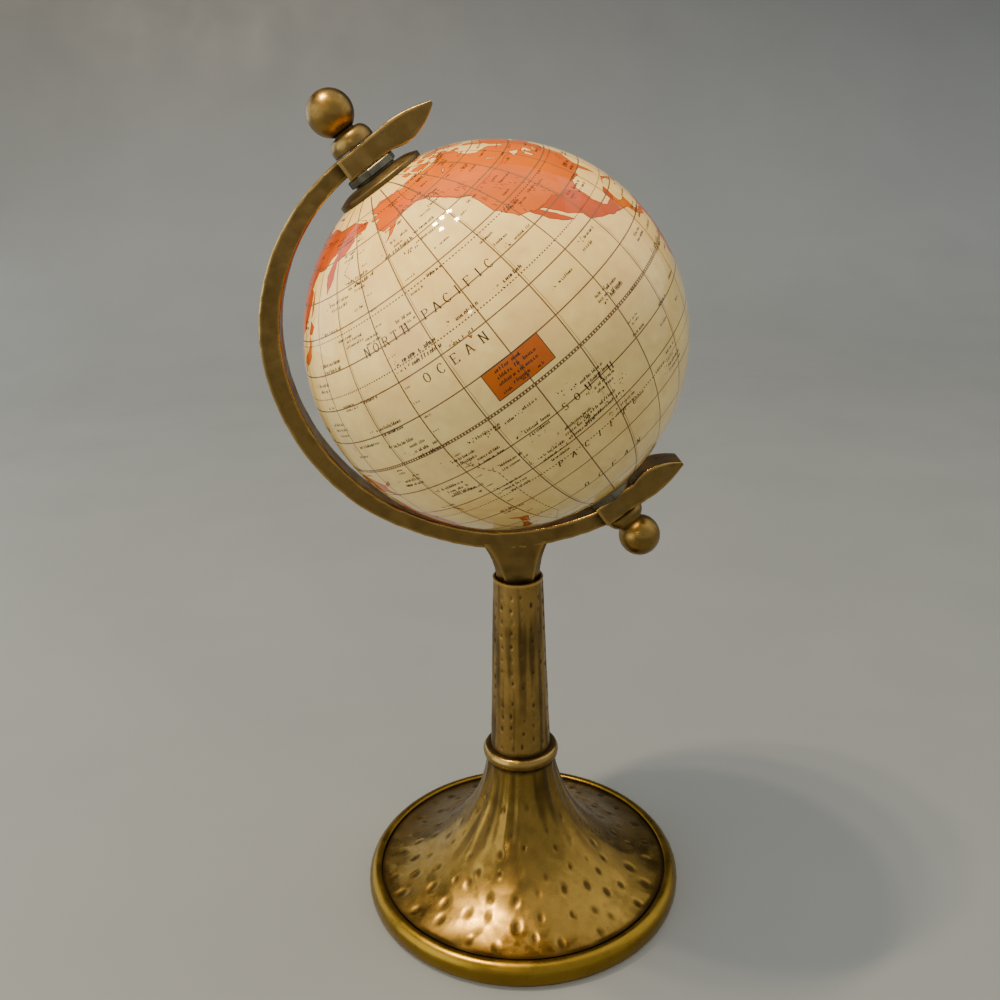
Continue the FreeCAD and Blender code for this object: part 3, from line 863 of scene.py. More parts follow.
# The print was pasted a little off the spindle
PRINT_NORTH = (NORTH + Vector((-0.0201, -0.0433, -0.0160))).normalized()
PRINT_ACROSS = PRINT_NORTH.cross(Vector((0, -1, 0))).normalized()
PRINT_FRONT = PRINT_ACROSS.cross(PRINT_NORTH)
MAP_R = 63.46               # surface of the print, just inside the CAD sheet's outside
SHEET = 0.34                # thickness of the print
MM_PER_DEGREE = MAP_R * math.pi / 180

LAND = """
-168,65.6 -164,66.5 -161.5,66.3 -163.5,67.3 -166.5,68.4 -163,69.4 -156.5,71.3 -150,70.5 -141,69.7 -136,69
-130,70 -124,70.2 -120,69.5 -115,68.3 -108,68 -101,67.8 -96,68 -94.5,71.5 -91.5,69.6 -88,68.5 -85.5,69.7
-81.5,69.2 -82.5,67.2 -86.5,66.4 -87,64.5 -93,62 -94.7,60 -94,58.8 -92.5,57 -88,56.5 -82.5,55.2 -82,53
-80,51.3 -78.8,52.5 -79.5,54.7 -76.8,56.5 -78.3,58.8 -77.5,60.3 -78,62.4 -73.5,62.3 -70,61 -69.5,59 -65,60
-62,57.5 -60,55.5 -56,52.5 -60,50.2 -66.5,50.2 -69.5,48 -65,49 -64.5,47.5 -61,45.7 -65.5,43.7 -67,45
-70.2,43.7 -70.5,42 -74,40.6 -75.5,38 -76,35.3 -78.5,33.9 -81.2,31.8 -80.2,27 -80.8,25.2 -82.2,27.2
-83.7,29.8 -88,30.4 -89.5,29.2 -94,29.7 -97.2,27.8 -97.7,22.5 -96,19.2 -94.5,18.2 -91,18.7 -90.3,21 -87,21.5
-88.2,18 -88,15.8 -83.5,15 -83.7,11 -81.5,9 -79.6,9.5 -77.5,8.6 -75.5,10.7 -72,12 -71.5,11 -68,11.5
-65,10.2 -62,10.7 -60,8.5 -57,6 -52,4.7 -50,1 -48,-0.7 -44.5,-2.6 -40,-2.8 -35.3,-5.3 -35,-8.5 -38.5,-13
-39.2,-17.5 -41,-22 -44.5,-23 -48.5,-26 -48.8,-28.8 -52,-32.7 -54.5,-34.8 -58.3,-34 -57,-36.5 -62,-38.8
-62.5,-40.8 -65,-41 -64,-42.5 -67.5,-46 -65.8,-47.5 -69,-50.5 -68.4,-52.4 -65.5,-54.7 -68.5,-55.3
-72.5,-53.5 -75.5,-50 -74.5,-46.5 -73,-42 -73.5,-37.5 -71.5,-32 -70.3,-25 -70.3,-18.3 -76.3,-13.8 -79.5,-8
-81.2,-5 -80,-3 -80.8,-1 -79,1.5 -77.3,4 -77.8,7.2 -78.5,8.5 -80.3,7.3 -82.8,8.2 -85.6,10 -87.5,13
-92.3,14.5 -96.5,15.7 -101.5,17.8 -105.3,20.2 -105.5,22.5 -109.3,25.7 -113,31.1 -114.8,31.7 -112.5,28.5
-109.5,23.2 -112.2,25 -115,28 -116,30.5 -117.3,33 -120.5,34.5 -122.5,37.5 -124.3,40.4 -124,46.2 -123.8,48.3
-127.5,51 -130.5,54.5 -134,58 -139.5,59.8 -145,60.4 -148,60 -151.5,59.3 -153.5,59 -158,56.4 -163.5,54.9
-160,56.3 -157.5,58.7 -162,58.8 -165.3,61.5 -164.5,63.1 -161,64.5 -166,64.5;
-73,78.2 -67,79.5 -60,81.5 -35,81.5 -20,81.2 -18,79 -19.5,76 -22,72.5 -25,70.5 -32,68 -39.5,65.5 -42.5,61.5
-45,60.1 -49,61.5 -53,66 -51.5,69.5 -54.5,71 -58,75.2 -66,76 -71,77;
-90,76.5 -80,76.3 -76,79 -68,81.2 -90,81.4 -93,79;
-80,73.6 -75,72 -68,70.3 -62,66.8 -66,62.3 -72,64 -74,66 -73,68 -79,70 -85,70.5 -89,71 -89,73.5 -83,73.8;
-117,71 -112,68.8 -102,68.9 -105,71.5 -110,73 -117,73;
-125,72 -120,71.5 -117.5,73.5 -124,74.3;
-92,75.5 -80,74.8 -80,75.7 -92,76.2;
-101,72 -95,72 -93,74 -101,73.8;
-117,75 -106,75 -107,76.6 -116,76.4;
-86,65.5 -81,64 -85,63.2 -87,64;
11,79 15,76.7 24,78.2 27,80.1 14,79.8;
51.5,71.5 57.5,70.6 58,73 68,76.6 62,76.2 54,73.5;
95,79 104,78.6 100,80.8 92,80;
137,75.5 150,75 145,76;
-59,47.7 -53,46.8 -53.5,49 -56,51.5 -58,49.5;
-128,50.7 -123.5,48.4 -125,50;
-85,21.9 -80,23.1 -74.3,20.2 -77.5,19.9 -78,21.5 -82,22.5;
-74.4,18.6 -72.8,19.9 -68.5,18.6 -71.5,17.7;
-78.3,18.4 -76.4,18.2 -77.2,17.8;
-67.2,18.4 -65.7,18.4 -66.3,17.9;
-156,19.7 -155,19.5 -155.6,19;
-154.5,57.3 -152.3,57.6 -153,58;
-61,-52 -58,-51.7 -60,-51.2;
-24,65.5 -22,66.4 -16,66.4 -13.7,65 -18.5,63.4 -22.5,63.9;
-5.5,50.1 1.3,51.2 1.6,52.8 -1.5,54.8 -2,57.6 -3.2,58.6 -6,57.5 -5,55 -3,54 -4.7,52;
-10,51.7 -6.3,52.2 -6,54.8 -8.2,55.2 -10,53.8;
-9,37 -9.3,38.8 -9.2,43.1 -2,43.4 -1.3,45.5 -4.6,48.3 -1.5,48.7 2,51 4.8,53 8.5,53.9 8.2,57 10.6,57.6
10.3,54.8 12,54.2 14.3,53.9 19,54.4 21.2,56 21.7,57.5 24,57.2 23.6,59.2 29.8,59.7 23,60.3 21.4,61.5 25.3,65
22.3,65.8 17.3,61.5 18.8,60 16.6,57.5 14.3,55.5 12.8,56.3 11.2,59.2 7,58.1 5.1,60 5.5,62.2 12.3,65.5 16,68.8
25.7,71 31,70.2 41,67.2 40.5,66.2 33.5,66.6 38,64 44,66 44,68.4 53.5,68.5 60.5,69.7 68.3,68.3 67,71.5
72.8,72.8 74,68 80.5,73 87,75 98,76.3 104.3,77.7 113.5,75.7 109.5,73.8 119,73 127,73.4 129,71 137,71.5
140,72.4 150,71.6 160,69.8 170,69.9 176,69.8 180,68.8 190.2,66 186.5,64.4 179,64.6 177.5,62.6 171,60.2
163.5,59.8 162.5,57 162,54.8 156.8,51.1 155.7,56.5 163.5,62.4 157,61.7 152,59 143,59.3 137.5,54.6 141.3,53
140.5,50 138,46.5 133,42.8 130,42.2 127.6,40 129.4,37 128.8,35.1 126.4,34.5 126.7,37.2 124.8,39.7 121.3,39
122,40.7 118,39 119,37.3 122.5,37 119.3,35 121.9,31.5 121.3,28.5 118.5,24.7 114.2,22.4 110.3,20.5 108,21.6
105.8,19 108.9,15.4 109.2,11.8 106.7,10.3 104.9,8.6 104,10.5 101,12.7 100.1,13.4 99.3,9.8 100.5,7.2
103.4,4.5 104.1,1.4 101.4,2.7 100.3,6.2 98.4,8 98.6,12 97.5,16.5 94.3,16 94.3,19 92,21.5 88.5,21.8 86.8,20.6
82.3,16.7 80.2,15.3 79.9,10.4 77.5,8.1 74.8,12.9 73,17 72.7,21 70.2,20.9 69,22.3 67,24.8 61.6,25.2 57.3,25.8
56.4,27.1 51.3,27.8 50,30.2 48,29.8 50.2,26.7 51.5,24.6 54,24.2 56.3,26 57,23.9 59.8,22.4 57.8,19 55,17
52,15.6 45,12.8 43.3,12.7 42.6,16.5 39,21.5 35,28.1 34.9,29.5 34.3,27.8 32.6,29.8 34,26.5 37.2,21 39.5,15.5
43,11.8 44.3,10.4 51.2,11.8 48,4.5 42,-1 39.2,-5 40.5,-10.5 40.5,-15 35,-19.8 35.4,-23.8 32.8,-26 30.8,-30.5
25.7,-34 20,-34.8 18.3,-34 17.2,-29.5 14.5,-22.8 11.8,-17.2 13.7,-11 12.2,-6 9,-1 9.6,3.5 8.5,4.6 5.5,4.4
3,6.3 -2,4.8 -7.7,4.4 -13,8.5 -16.8,12.3 -17.4,14.8 -16.3,19 -17,21 -14.5,26.2 -9.8,29.8 -9.5,32 -6,35.8
-2,35.1 5,36.8 10.2,37.3 11,35 10.2,34 15.2,32.3 19.5,30.4 20.5,32.7 23,32.6 29,30.9 32.3,31.2 34.3,31.3
35.8,35 36,36.8 30.6,36.8 27.3,37 26.2,39.3 29,41 26,40.7 23,40.5 24,38 23,36.5 21.5,37 19.5,40.5 19.3,42
15,44.8 13.7,45.6 12.3,45 13.6,43.3 16,41.8 18.4,40.2 17,39.5 15.8,38 15.8,40 12.3,41.7 10,44.2 7,43.6
3.2,43.1 3,41.7 0,39.5 -0.5,38 -2.2,36.8 -5.6,36.2;
130.9,34 132.5,35.5 136.7,37 139.5,38.5 140.8,41.2 141.9,39.5 140.8,35.8 138.8,34.7 135.8,33.5 132,34;
130,33.3 131.7,33.2 131.2,31.4 130.2,31.3;
132.6,33.6 134.4,34 133.6,32.9;
140,42.4 141.6,45.4 145.3,43.6 143.3,42 140.6,41.7;
142.2,46 142,51 142.8,54.3 144.4,49 143,47;
120.2,23 121.6,25.2 121,22;
108.7,19.3 110.5,20 110,18.4;
120.3,16 121,18.5 122.2,18.3 121.6,15.5 124,13 120.8,13.8;
122,7 124.5,8.6 126.5,7.5 125.4,5.7 124,6.6;
109,1.5 111.4,2.7 115.5,5.5 117,7 119,5.2 117.8,1 116.3,-3.8 114.5,-4 110.2,-2.9;
95.3,5.6 98,4.2 103.5,0.2 106,-3 105.7,-5.8 102.3,-4 98.7,1.7;
105.3,-6.8 108.5,-6.7 112.7,-6.9 114.5,-8.6 110,-8.1;
119,-3.4 119.8,0.5 121,1.3 125,1.6 121,0.5 120.9,-1 123.3,-0.9 121.5,-2 122.7,-5 120.5,-3
120.4,-5.5 119.5,-5.5;
131,-1 134,-0.8 135,-3.3 138,-1.7 144.5,-3.9 147.8,-6 147,-7.5 150.7,-10.6 147,-9.5 143.5,-8.8 141,-9.2
138,-8.3 138.3,-5.8 133,-4 133.8,-2.5;
148.5,-5.8 152,-4.2 151.5,-5.5 149,-6.3;
164,-20.3 166.8,-22.3 165.6,-20.8;
177.3,-17.7 178.6,-17.5 178,-18.3;
123.5,-10.3 127,-8.4 125,-9.6;
113.8,-22.5 114.2,-26.3 115.7,-31.7 115,-34.2 118.3,-35 123.7,-33.9 129,-31.7 131.2,-31.5 135.5,-34.7
137.8,-32.7 138.3,-35.6 140.5,-38 146.3,-39 149.9,-37.4 151.3,-33.5 153.5,-28.2 152.7,-25 149,-20.7
146,-18.8 145.3,-15 142.5,-10.8 141.6,-14 140.8,-17.5 138,-16.8 135.5,-14.9 136.8,-12.2 132.6,-11.3
129.8,-14.8 127.8,-14 123.5,-17.2 122,-18.2 119,-20;
144.8,-40.8 148.2,-40.9 147.9,-43.2 146,-43.5;
172.8,-34.5 175.5,-36.6 178.4,-37.7 177,-39.5 175.2,-41.6 173.9,-39.3 174.7,-37.5;
172.7,-40.5 174.2,-41.5 172.8,-43.7 170.7,-46 168.5,-46.6 166.6,-45.8 170.5,-43;
49.3,-12 50.3,-15.8 47.2,-24.9 44,-25 43.4,-22 44.5,-16.3;
79.9,9.6 81.8,7.3 80.5,6 79.8,7.5;
12.5,38 15.2,38.1 15,36.7;
8.3,39 8.5,41 9.7,40.9 9.5,39.2;
23.6,35.3 26.2,35.2 25,34.9;
32.5,34.8 34.4,35.6 33.5,34.7;
-169,-78 -155,-77.5 -140,-75 -125,-73.5 -103,-73 -90,-73 -75,-73 -68,-71 -66.5,-67 -58,-63.3 -57,-64.5
-62,-68 -61,-74 -50,-77.8 -35,-78 -20,-73.5 -5,-71 10,-70 30,-69.5 45,-67.5 55,-66 70,-68.5 73,-70 85,-66.7
100,-66 115,-66.7 130,-66.3 145,-67 160,-69.5 171,-71.7 165,-78 180,-78.3 191,-78 191,-84 -169,-84;
"""
WATER = """
28,42 31,46.3 33.5,46 33.6,44.5 36.5,45.3 39,47 37.5,45 41.5,42 36.5,41.3 31.5,41.2;
47.5,45.5 51,47 53,45.2 51,44.4 53,42 53.8,37 50,37.4 49,40.5 47.5,43;
32,0.3 34,0 33.5,-2.4 31.8,-2.3;
-92,46.8 -88.5,48.8 -84.6,46.6 -87.5,46.5;
-87.5,42 -86.2,42.5 -85,45.6 -82.5,43 -81.5,44.5 -80.2,44.6 -81,46 -84.5,46 -87.5,44.8;
-83.2,41.6 -79,42.8 -76.3,43.6 -79.5,43.4;
104,51.5 110,55.7 109,53.5;
-123,66 -119,65.5 -121,67;
-116,61.2 -110,62.7 -114,62.3;
-98.5,53 -97,50.5 -96.5,51.5 -98,53.8;
"""
DEEP, ORANGE, AMBER, SALMON, PEACH, SAND = range(6)
REGIONS = (
    (SALMON, "-170,50 -130,54.5 -135,59.5 -141,60.3 -141,75 -170,75"),
    (PEACH, "-141,60.3 -135,59.5 -130,54.5 -124,48.7 -95,48.7 -88,48.2 -83.5,46 -82.5,42 -79,43 -75,45"
            " -71,45.3 -69,47.3 -67,44.8 -60,43 -50,47 -62,62 -62,84 -141,84"),
    (ORANGE, "-130,48.7 -124,48.7 -95,48.7 -88,48.2 -83.5,46 -82.5,42 -79,43 -75,45 -71,45.3 -69,47.3"
             " -67,44.8 -60,43 -70,25 -97.3,25.9 -101,29.8 -104.5,29.6 -106.5,31.8 -111,31.3 -117,32.5"
             " -125,32.5"),
    (DEEP, "-125,32.5 -117,32.5 -111,31.3 -106.5,31.8 -104.5,29.6 -101,29.8 -97.3,25.9 -90,27 -86,22"
           " -87.5,18.3 -91,17.5 -92.2,14.3 -95,10 -120,15"),
    (AMBER, "-95,10 -92.2,14.3 -91,17.5 -87.5,18.3 -80,18 -77,8 -80,5"),
    (SAND, "-75,58 -10,58 -10,84 -62,84 -62,82 -75,78.3"),
    (SALMON, "-80,5 -78,1.5 -75,0 -70,-2.5 -69.5,1 -67,1.5 -63,1 -60,5 -58,9 -60,14 -80,14"),
    (ORANGE, "-83,2 -78,1.5 -75,0 -70,-2.5 -73,-7 -71,-10 -69,-12 -69.5,-17.5 -71,-19 -85,-12"),
    (AMBER, "-69.5,-17.5 -69,-12 -65,-10 -60,-14 -58,-18 -54.5,-24 -56,-27.5 -59,-25 -62.5,-22.2"
            " -67,-22.8"),
    (DEEP, "-71,-19 -69.5,-17.5 -67,-22.8 -69.5,-28 -70.3,-34 -71.5,-44 -72.5,-51 -68.5,-52.3"
           " -68.6,-56.5 -80,-56 -76,-19"),
    (SAND, "-67,-22.8 -62.5,-22.2 -59,-25 -56,-27.5 -57.8,-31 -58.2,-34.2 -50,-40 -60,-57 -68.6,-56.5"
           " -68.5,-52.3 -72.5,-51 -71.5,-44 -70.3,-34 -69.5,-28"),
    (SAND, "-20,37 -17,21 -9,27.3 -5,25 3,19.5 10,23.5 10,33 12,38"),
    (ORANGE, "-20,21 -17,21 -5,25 3,19.5 4,14 3,6 2,2 -15,3"),
    (AMBER, "10,38 10,33 10,23.5 15,23 25,20 37,22 35,32 30,40"),
    (PEACH, "3,6 4,14 14,13.5 16,7 15,1.5 8,1"),
    (SALMON, "14,13.5 15,23 25,20 37,22 38.5,15 35,5 27,5 16,7"),
    (DEEP, "38.5,15 43,12 55,13 45,-2 41.5,-2 35,5"),
    (ORANGE, "12,-6 15,1.5 16,7 27,5 31,2 30,-8 28,-12.5 22,-11 17,-7"),
    (PEACH, "10,-6 12,-6 17,-7 22,-11 24,-12.5 21,-18 12,-17.3 5,-15"),
    (SAND, "31,2 35,5 41.5,-2 45,-5 42,-11 35,-11.5 30,-8"),
    (AMBER, "12,-17.3 21,-18 25,-18 31,-22.3 33,-26.5 40,-28 30,-38 10,-36"),
    (DEEP, "-12,35 -1,35.8 3.3,42.4 -1.8,43.3 -5,46 -12,44"),
    (PEACH, "-1.8,43.3 3.3,42.4 7.5,43.5 7,46 8,49 2.5,51 -6,49.5 -3,45"),
    (SAND, "7,47.5 13,47.5 15,51 14,55 8.5,56 6,53 6,49.5"),
    (SALMON, "7,46 13.5,46.5 13,44 19,40 15,35 7,38"),
    (AMBER, "4,57 12,60 12,64 20,69 31,70.5 15,73 0,63"),
    (DEEP, "28,71 30,60 33,52 40,49.5 48,46 51,51 61,51 73,54 80,50.8 87,49 98,51 108,49.5 117,49.5"
           " 121,53 127,50 131,48 131,42.5 145,42 165,50 195,60 195,84 28,84"),
    (SAND, "51,51 61,51 73,54 80,50.8 87,49 80,42.5 73,39.5 68,37 61,35.5 53,37.5 48,46"),
    (AMBER, "80,42.5 87,49 91,45.5 97,42.7 105,41.7 111,43.8 119,46.7 117,49.5 121,53 127,50 131,48"
            " 131,42.5 124,40 122,30 118,20 108,21.5 101.5,21.5 98,24 97,28 89,28 81,30.2 78,34.5"
            " 74,38.5"),
    (PEACH, "87,49 98,51 108,49.5 117,49.5 119,46.7 111,43.8 105,41.7 97,42.7 91,45.5"),
    (SALMON, "61,24 66.5,25 70,28 74,32 78,34.5 81,30.2 89,28 97,28 94,24 92,20 80,4 66,20"),
    (ORANGE, "44,39.5 48,38.5 53,37.5 61,35.5 68,37 74,38.5 78,34.5 74,32 70,28 66.5,25 57,25 48,30"
             " 46,35"),
    (SAND, "34.5,32 39,32.5 46,29 48,30 52,25 60,23 55,15 43,11 35,27"),
    (PEACH, "26,36 26,42 44,42 44,39.5 46,35 48,30 46,29 39,32.5 34.5,32 34,36"),
    (ORANGE, "92,20 94,24 97,28 98,24 101.5,21.5 108,21.5 112,15 108,5 100,5"),
    (PEACH, "129,-40 129,-9 138,-9 138,-26 141,-26 141,-40"),
    (SALMON, "138,-9 138,-26 141,-26 141,-29 155,-28.3 155,-9"),
    (SAND, "-169,-60 191,-60 191,-84 -169,-84"),
)
LAND_TINTS = (
    (0.44, 0.062, 0.001), (0.54, 0.108, 0.001), (0.58, 0.145, 0.001),
    (0.58, 0.102, 0.002), (0.57, 0.118, 0.001), (0.72, 0.230, 0.006),
)
SEA_TINT = (0.81, 0.600, 0.225)
CARTOUCHE_TINT = (0.44, 0.105, 0.010)
INK = (0.045, 0.022, 0.012)
LINE_INK = (0.150, 0.082, 0.040)
COAST_INK = (0.200, 0.040, 0.010)
# How a face is coloured by what covers it, the strongest first
PRINT_ORDER = (
    ("ink", INK), ("line", LINE_INK), ("cartouche", CARTOUCHE_TINT), ("coast", COAST_INK),
)

GLYPHS = {
    "A": "0,0 2,6 4,0/0.8,2 3.2,2",
    "C": "3.9,4.8 3,5.8 2,6 0.8,5.2 0,3 0.8,0.8 2,0 3,0.2 4,1.2",
    "E": "0.5,0 0.5,6/0,6 3.8,6 3.8,5.1/0.5,3.1 2.8,3.1/0,0 4,0 4,1",
    "F": "0.5,0 0.5,6/0,6 3.8,6 3.8,5.1/0.5,3.1 2.8,3.1",
    "H": "0.5,0 0.5,6/3.7,0 3.7,6/0.5,3.1 3.7,3.1",
    "I": "2,0 2,6",
    "N": "0.5,0 0.5,6/0.5,6 3.7,0/3.7,0 3.7,6",
    "O": "2,0 0.6,0.9 0,3 0.6,5.1 2,6/2,6 3.4,5.1 4,3 3.4,0.9 2,0",
    "P": "0.6,0 0.6,6/0,6 2.8,6 3.9,5.3 3.9,3.9 2.8,3.1 0.6,3.1",
    "R": "0.6,0 0.6,6/0,6 2.8,6 3.9,5.3 3.9,3.9 2.8,3.1 0.6,3.1/2.2,3.1 4.1,0",
    "S": "3.7,5 2.6,6 1.2,6 0.3,5.2 0.4,4 1.2,3.4 2.9,2.7 3.7,1.9 3.6,0.8 2.5,0 1.1,0 0.2,1",
    "T": "2,0 2,6/0,5 0.1,6 3.9,6 4,5",
    "U": "0.5,6 0.5,1.6 1.2,0.3 2.1,0 3,0.3 3.6,1.6 3.6,6",
}


def outline(text):
    """Points of an outline written as "x,y x,y"."""
    return [tuple(float(n) for n in pair.split(",")) for pair in text.split()]


def outlines(text):
    """Outlines with a semicolon after each."""
    return [outline(part) for part in text.split(";") if part.strip()]


def rough(points, step=0.7, size=0.34):
    """A closed outline in short steps, shifted by noise of its place, so that shared lines agree."""
    shifted = []
    for (x0, y0), (x1, y1) in zip(points, points[1:] + points[:1]):
        count = max(1, round(math.hypot((x1 - x0) * math.cos(math.radians(y0)), y1 - y0) / step))
        for k in range(count):
            x, y = mix(x0, x1, k / count), mix(y0, y1, k / count)
            if WEST < x < EAST and -POLE_LAT < y < POLE_LAT:
                for octave in (0.45, 1.1, 2.6):
                    drift = noise.noise_vector(Vector((x * octave, y * octave, 3.3)))
                    x += drift.x * size * 0.45 / octave / max(0.25, math.cos(math.radians(y)))
                    y += drift.y * size * 0.45 / octave
            shifted.append((x, y))
    return shifted


def near(lon, lat, east, north):
    """Degrees of a point so many millimetres east and north of another."""
    return (lon + east / (MM_PER_DEGREE * math.cos(math.radians(lat))), lat + north / MM_PER_DEGREE)


def ball_point(lon, lat, radius=MAP_R):
    """Point on the ball, in metres."""
    turn, rise = math.radians(lon - FRONT_LON), math.radians(lat)
    flat = PRINT_FRONT * math.cos(turn) + PRINT_ACROSS * math.sin(turn)
    return CENTRE + (flat * math.cos(rise) + PRINT_NORTH * math.sin(rise)) * radius * MM


CELL = 1.5              # degrees across a cell of the table that finds the shapes near a point


class Shape:
    """A closed outline that can tell whether a point lies inside it."""

    def __init__(self, points, kind):
        self.kind = kind
        self.west = min(x for x, y in points)
        self.east = max(x for x, y in points)
        self.low = min(y for x, y in points)
        self.high = max(y for x, y in points)
        self.rows = {}
        for (x0, y0), (x1, y1) in zip(points, points[1:] + points[:1]):
            for row in range(math.floor(min(y0, y1)), math.floor(max(y0, y1)) + 1):
                self.rows.setdefault(row, []).append((x0, y0, x1, y1))

    def holds(self, x, y):
        if not (self.west < x < self.east and self.low < y < self.high):
            return False
        winding = 0
        for x0, y0, x1, y1 in self.rows.get(math.floor(y), ()):
            if (y0 > y) != (y1 > y) and x < x0 + (y - y0) * (x1 - x0) / (y1 - y0):
                winding += 1 if y1 > y0 else -1
        return winding != 0


class Print:
    """Outlines in degrees, each with what it prints. They are cut into one sheet of triangles."""

    def __init__(self):
        self.points = []
        self.faces = []
        self.kinds = []

    def area(self, points, kind):
        """A closed outline, repeated a turn further round where it crosses the sheet's edge."""
        twice = sum(a[0] * b[1] - b[0] * a[1] for a, b in zip(points, points[1:] + points[:1]))
        if twice < 0:
            points = points[::-1]
        low, high = min(p[0] for p in points), max(p[0] for p in points)
        for turn in (-360, 0, 360):
            if low + turn < EAST and high + turn > WEST:
                first = len(self.points)
                self.points.extend((x + turn, y) for x, y in points)
                self.faces.append(list(range(first, len(self.points))))
                self.kinds.append(kind)

    def ribbon(self, points, width, kind, chunk=6):
        """A line so many millimetres wide along points in degrees, as short strips with mitred joints."""
        sides = []
        last = len(points) - 1
        for k, (lon, lat) in enumerate(points):
            shrink = math.cos(math.radians(lat))
            (x0, y0), (x1, y1) = points[max(k - 1, 0)], points[min(k + 1, last)]
            before = Vector(((lon - x0) * shrink, lat - y0))
            after = Vector(((x1 - lon) * shrink, y1 - lat))
            before = before.normalized() if before.length > 1e-9 else after.normalized()
            after = after.normalized() if after.length > 1e-9 else before
            along = before + after
            along = along.normalized() if along.length > 0.3 else after
            stretch = 1 / max(0.6, along.dot(after))
            reach = width / 2 * stretch
            sides.append((near(lon, lat, -along.y * reach, along.x * reach),
                          near(lon, lat, along.y * reach, -along.x * reach)))
        for start in range(0, last, chunk):
            part = sides[start:start + chunk + 1]
            self.area([a for a, b in part] + [b for a, b in reversed(part)], kind)

    def strokes(self, text, lon, lat, height, width, kind, lean=0.0):
        """A glyph of pen strokes: thin across, thick upwards, with feet at the ends of upright strokes."""
        scale = height / 6
        for stroke in text.split("/"):
            points = outline(stroke)
            legs = list(zip(points, points[1:]))
            for (x0, y0), (x1, y1) in legs:
                steep = abs(y1 - y0) / math.hypot(x1 - x0, y1 - y0)
                pen = width * mix(0.45, 1.0, steep**2)
                ends = [near(lon, lat, (x + lean * y) * scale, y * scale) for x, y in ((x0, y0), (x1, y1))]
                self.ribbon(ends, pen, kind)
            for (x, y), (x2, y2) in ((points[0], points[1]), (points[-1], points[-2])):
                if y in (0, 6) and abs(y2 - y) > abs(x2 - x):
                    foot = [near(lon, lat, (x + lean * y + dx) * scale, y * scale) for dx in (-1, 1)]
                    self.ribbon(foot, width * 0.4, kind)

    def sheet(self):
        """Triangles of the whole sheet in degrees, and what covers each."""
        corners = [(WEST, -POLE_LAT), (EAST, -POLE_LAT), (EAST, POLE_LAT), (WEST, POLE_LAT)]
        points = self.points + corners
        first = len(self.points)
        faces = self.faces + [[first, first + 1, first + 2, first + 3]]
        points += inside_grid(2.5)
        cut = delaunay_2d_cdt([Vector(p) for p in points], [], faces, 0, 1e-6, True)
        shapes = [Shape([self.points[i] for i in face], kind) for face, kind in zip(self.faces, self.kinds)]
        cells = shapes_by_cell(shapes)
        kept = []
        for face in cut[2]:
            x = sum(cut[0][i].x for i in face) / len(face)
            y = sum(cut[0][i].y for i in face) / len(face)
            if WEST < x < EAST and abs(y) < POLE_LAT:
                near_by = cells.get((math.floor(x / CELL), math.floor(y / CELL)), ())
                kept.append((face, [shape.kind for shape in near_by if shape.holds(x, y)]))
        return cut[0], kept


def shapes_by_cell(shapes):
    """The shapes whose boxes touch each cell, by the cell's column and row."""
    cells = {}
    for shape in shapes:
        for column in range(math.floor(shape.west / CELL), math.floor(shape.east / CELL) + 1):
            for row in range(math.floor(shape.low / CELL), math.floor(shape.high / CELL) + 1):
                cells.setdefault((column, row), []).append(shape)
    return cells


def inside_grid(step):
    """Points every few degrees inside the sheet, off its edges."""
    rows = round(2 * POLE_LAT / step)
    columns = round((EAST - WEST) / step)
    return [(WEST + step * i, -POLE_LAT + 2 * POLE_LAT * j / rows)
            for i in range(1, columns) for j in range(1, rows)]


# Widths in mm of the map's lines: meridians and parallels, the equator's edges and hatching, the dotted
# circles, the gores' seams, the date line, coasts and borders
LINE_PEN, EDGE_PEN, HATCH_PEN, DOT_PEN, SEAM_PEN, DATE_PEN = 0.40, 0.26, 0.70, 0.38, 0.13, 0.30
COAST_PEN, BORDER_PEN = 0.24, 0.18


def graticule(page):
    """Meridians each 15 degrees, parallels each 10, the hatched equator, and the dotted circles."""
    for lon in range(-165, 195, 15):
        stop = 84 if lon % 45 == 0 else 78
        page.ribbon([(lon, lat) for lat in range(-stop, stop + 1, 3)], LINE_PEN, "line")
    for lat in range(-80, 90, 10):
        for edge in (0,) if lat else (-0.36, 0.36):
            pen = LINE_PEN if lat else EDGE_PEN
            page.ribbon([(lon, lat + edge) for lon in range(-171, 195, 3)], pen, "line")
    for k in range(360):
        page.ribbon([(WEST + k, 0.0), (WEST + k + 0.60, 0.0)], HATCH_PEN, "line")
    for lat, gap in ((23.44, 1.05), (-23.44, 1.05), (66.56, 2.4), (-66.56, 2.4), (38.5, 1.3)):
        steps = round((EAST - WEST) / gap)
        for k in range(steps):
            lon = WEST + gap * k
            page.ribbon([(lon, lat), (lon + gap * 0.5, lat)], DOT_PEN, "ink")
    for k in range(12):
        lon = -165 + 30 * k
        page.ribbon([(lon + 0.75, lat) for lat in range(-78, 79, 3)], SEAM_PEN, "line")
    date_line = outline("180,77 180,70 189,67.5 170.5,54 180,48 180,-5 187,-15 187,-44 180,-50 180,-77")
    dashes(page, date_line, 1.5, 0.6, DATE_PEN, "ink")


def dashes(page, points, pitch, share, width, kind):
    """A dashed line along points in degrees. The pitch is in degrees too."""
    for (x0, y0), (x1, y1) in zip(points, points[1:]):
        count = max(1, round(math.hypot(x1 - x0, y1 - y0) / pitch))
        for k in range(count):
            a, b = k / count, (k + share) / count
            page.ribbon([(mix(x0, x1, a), mix(y0, y1, a)), (mix(x0, x1, b), mix(y0, y1, b))], width, kind)


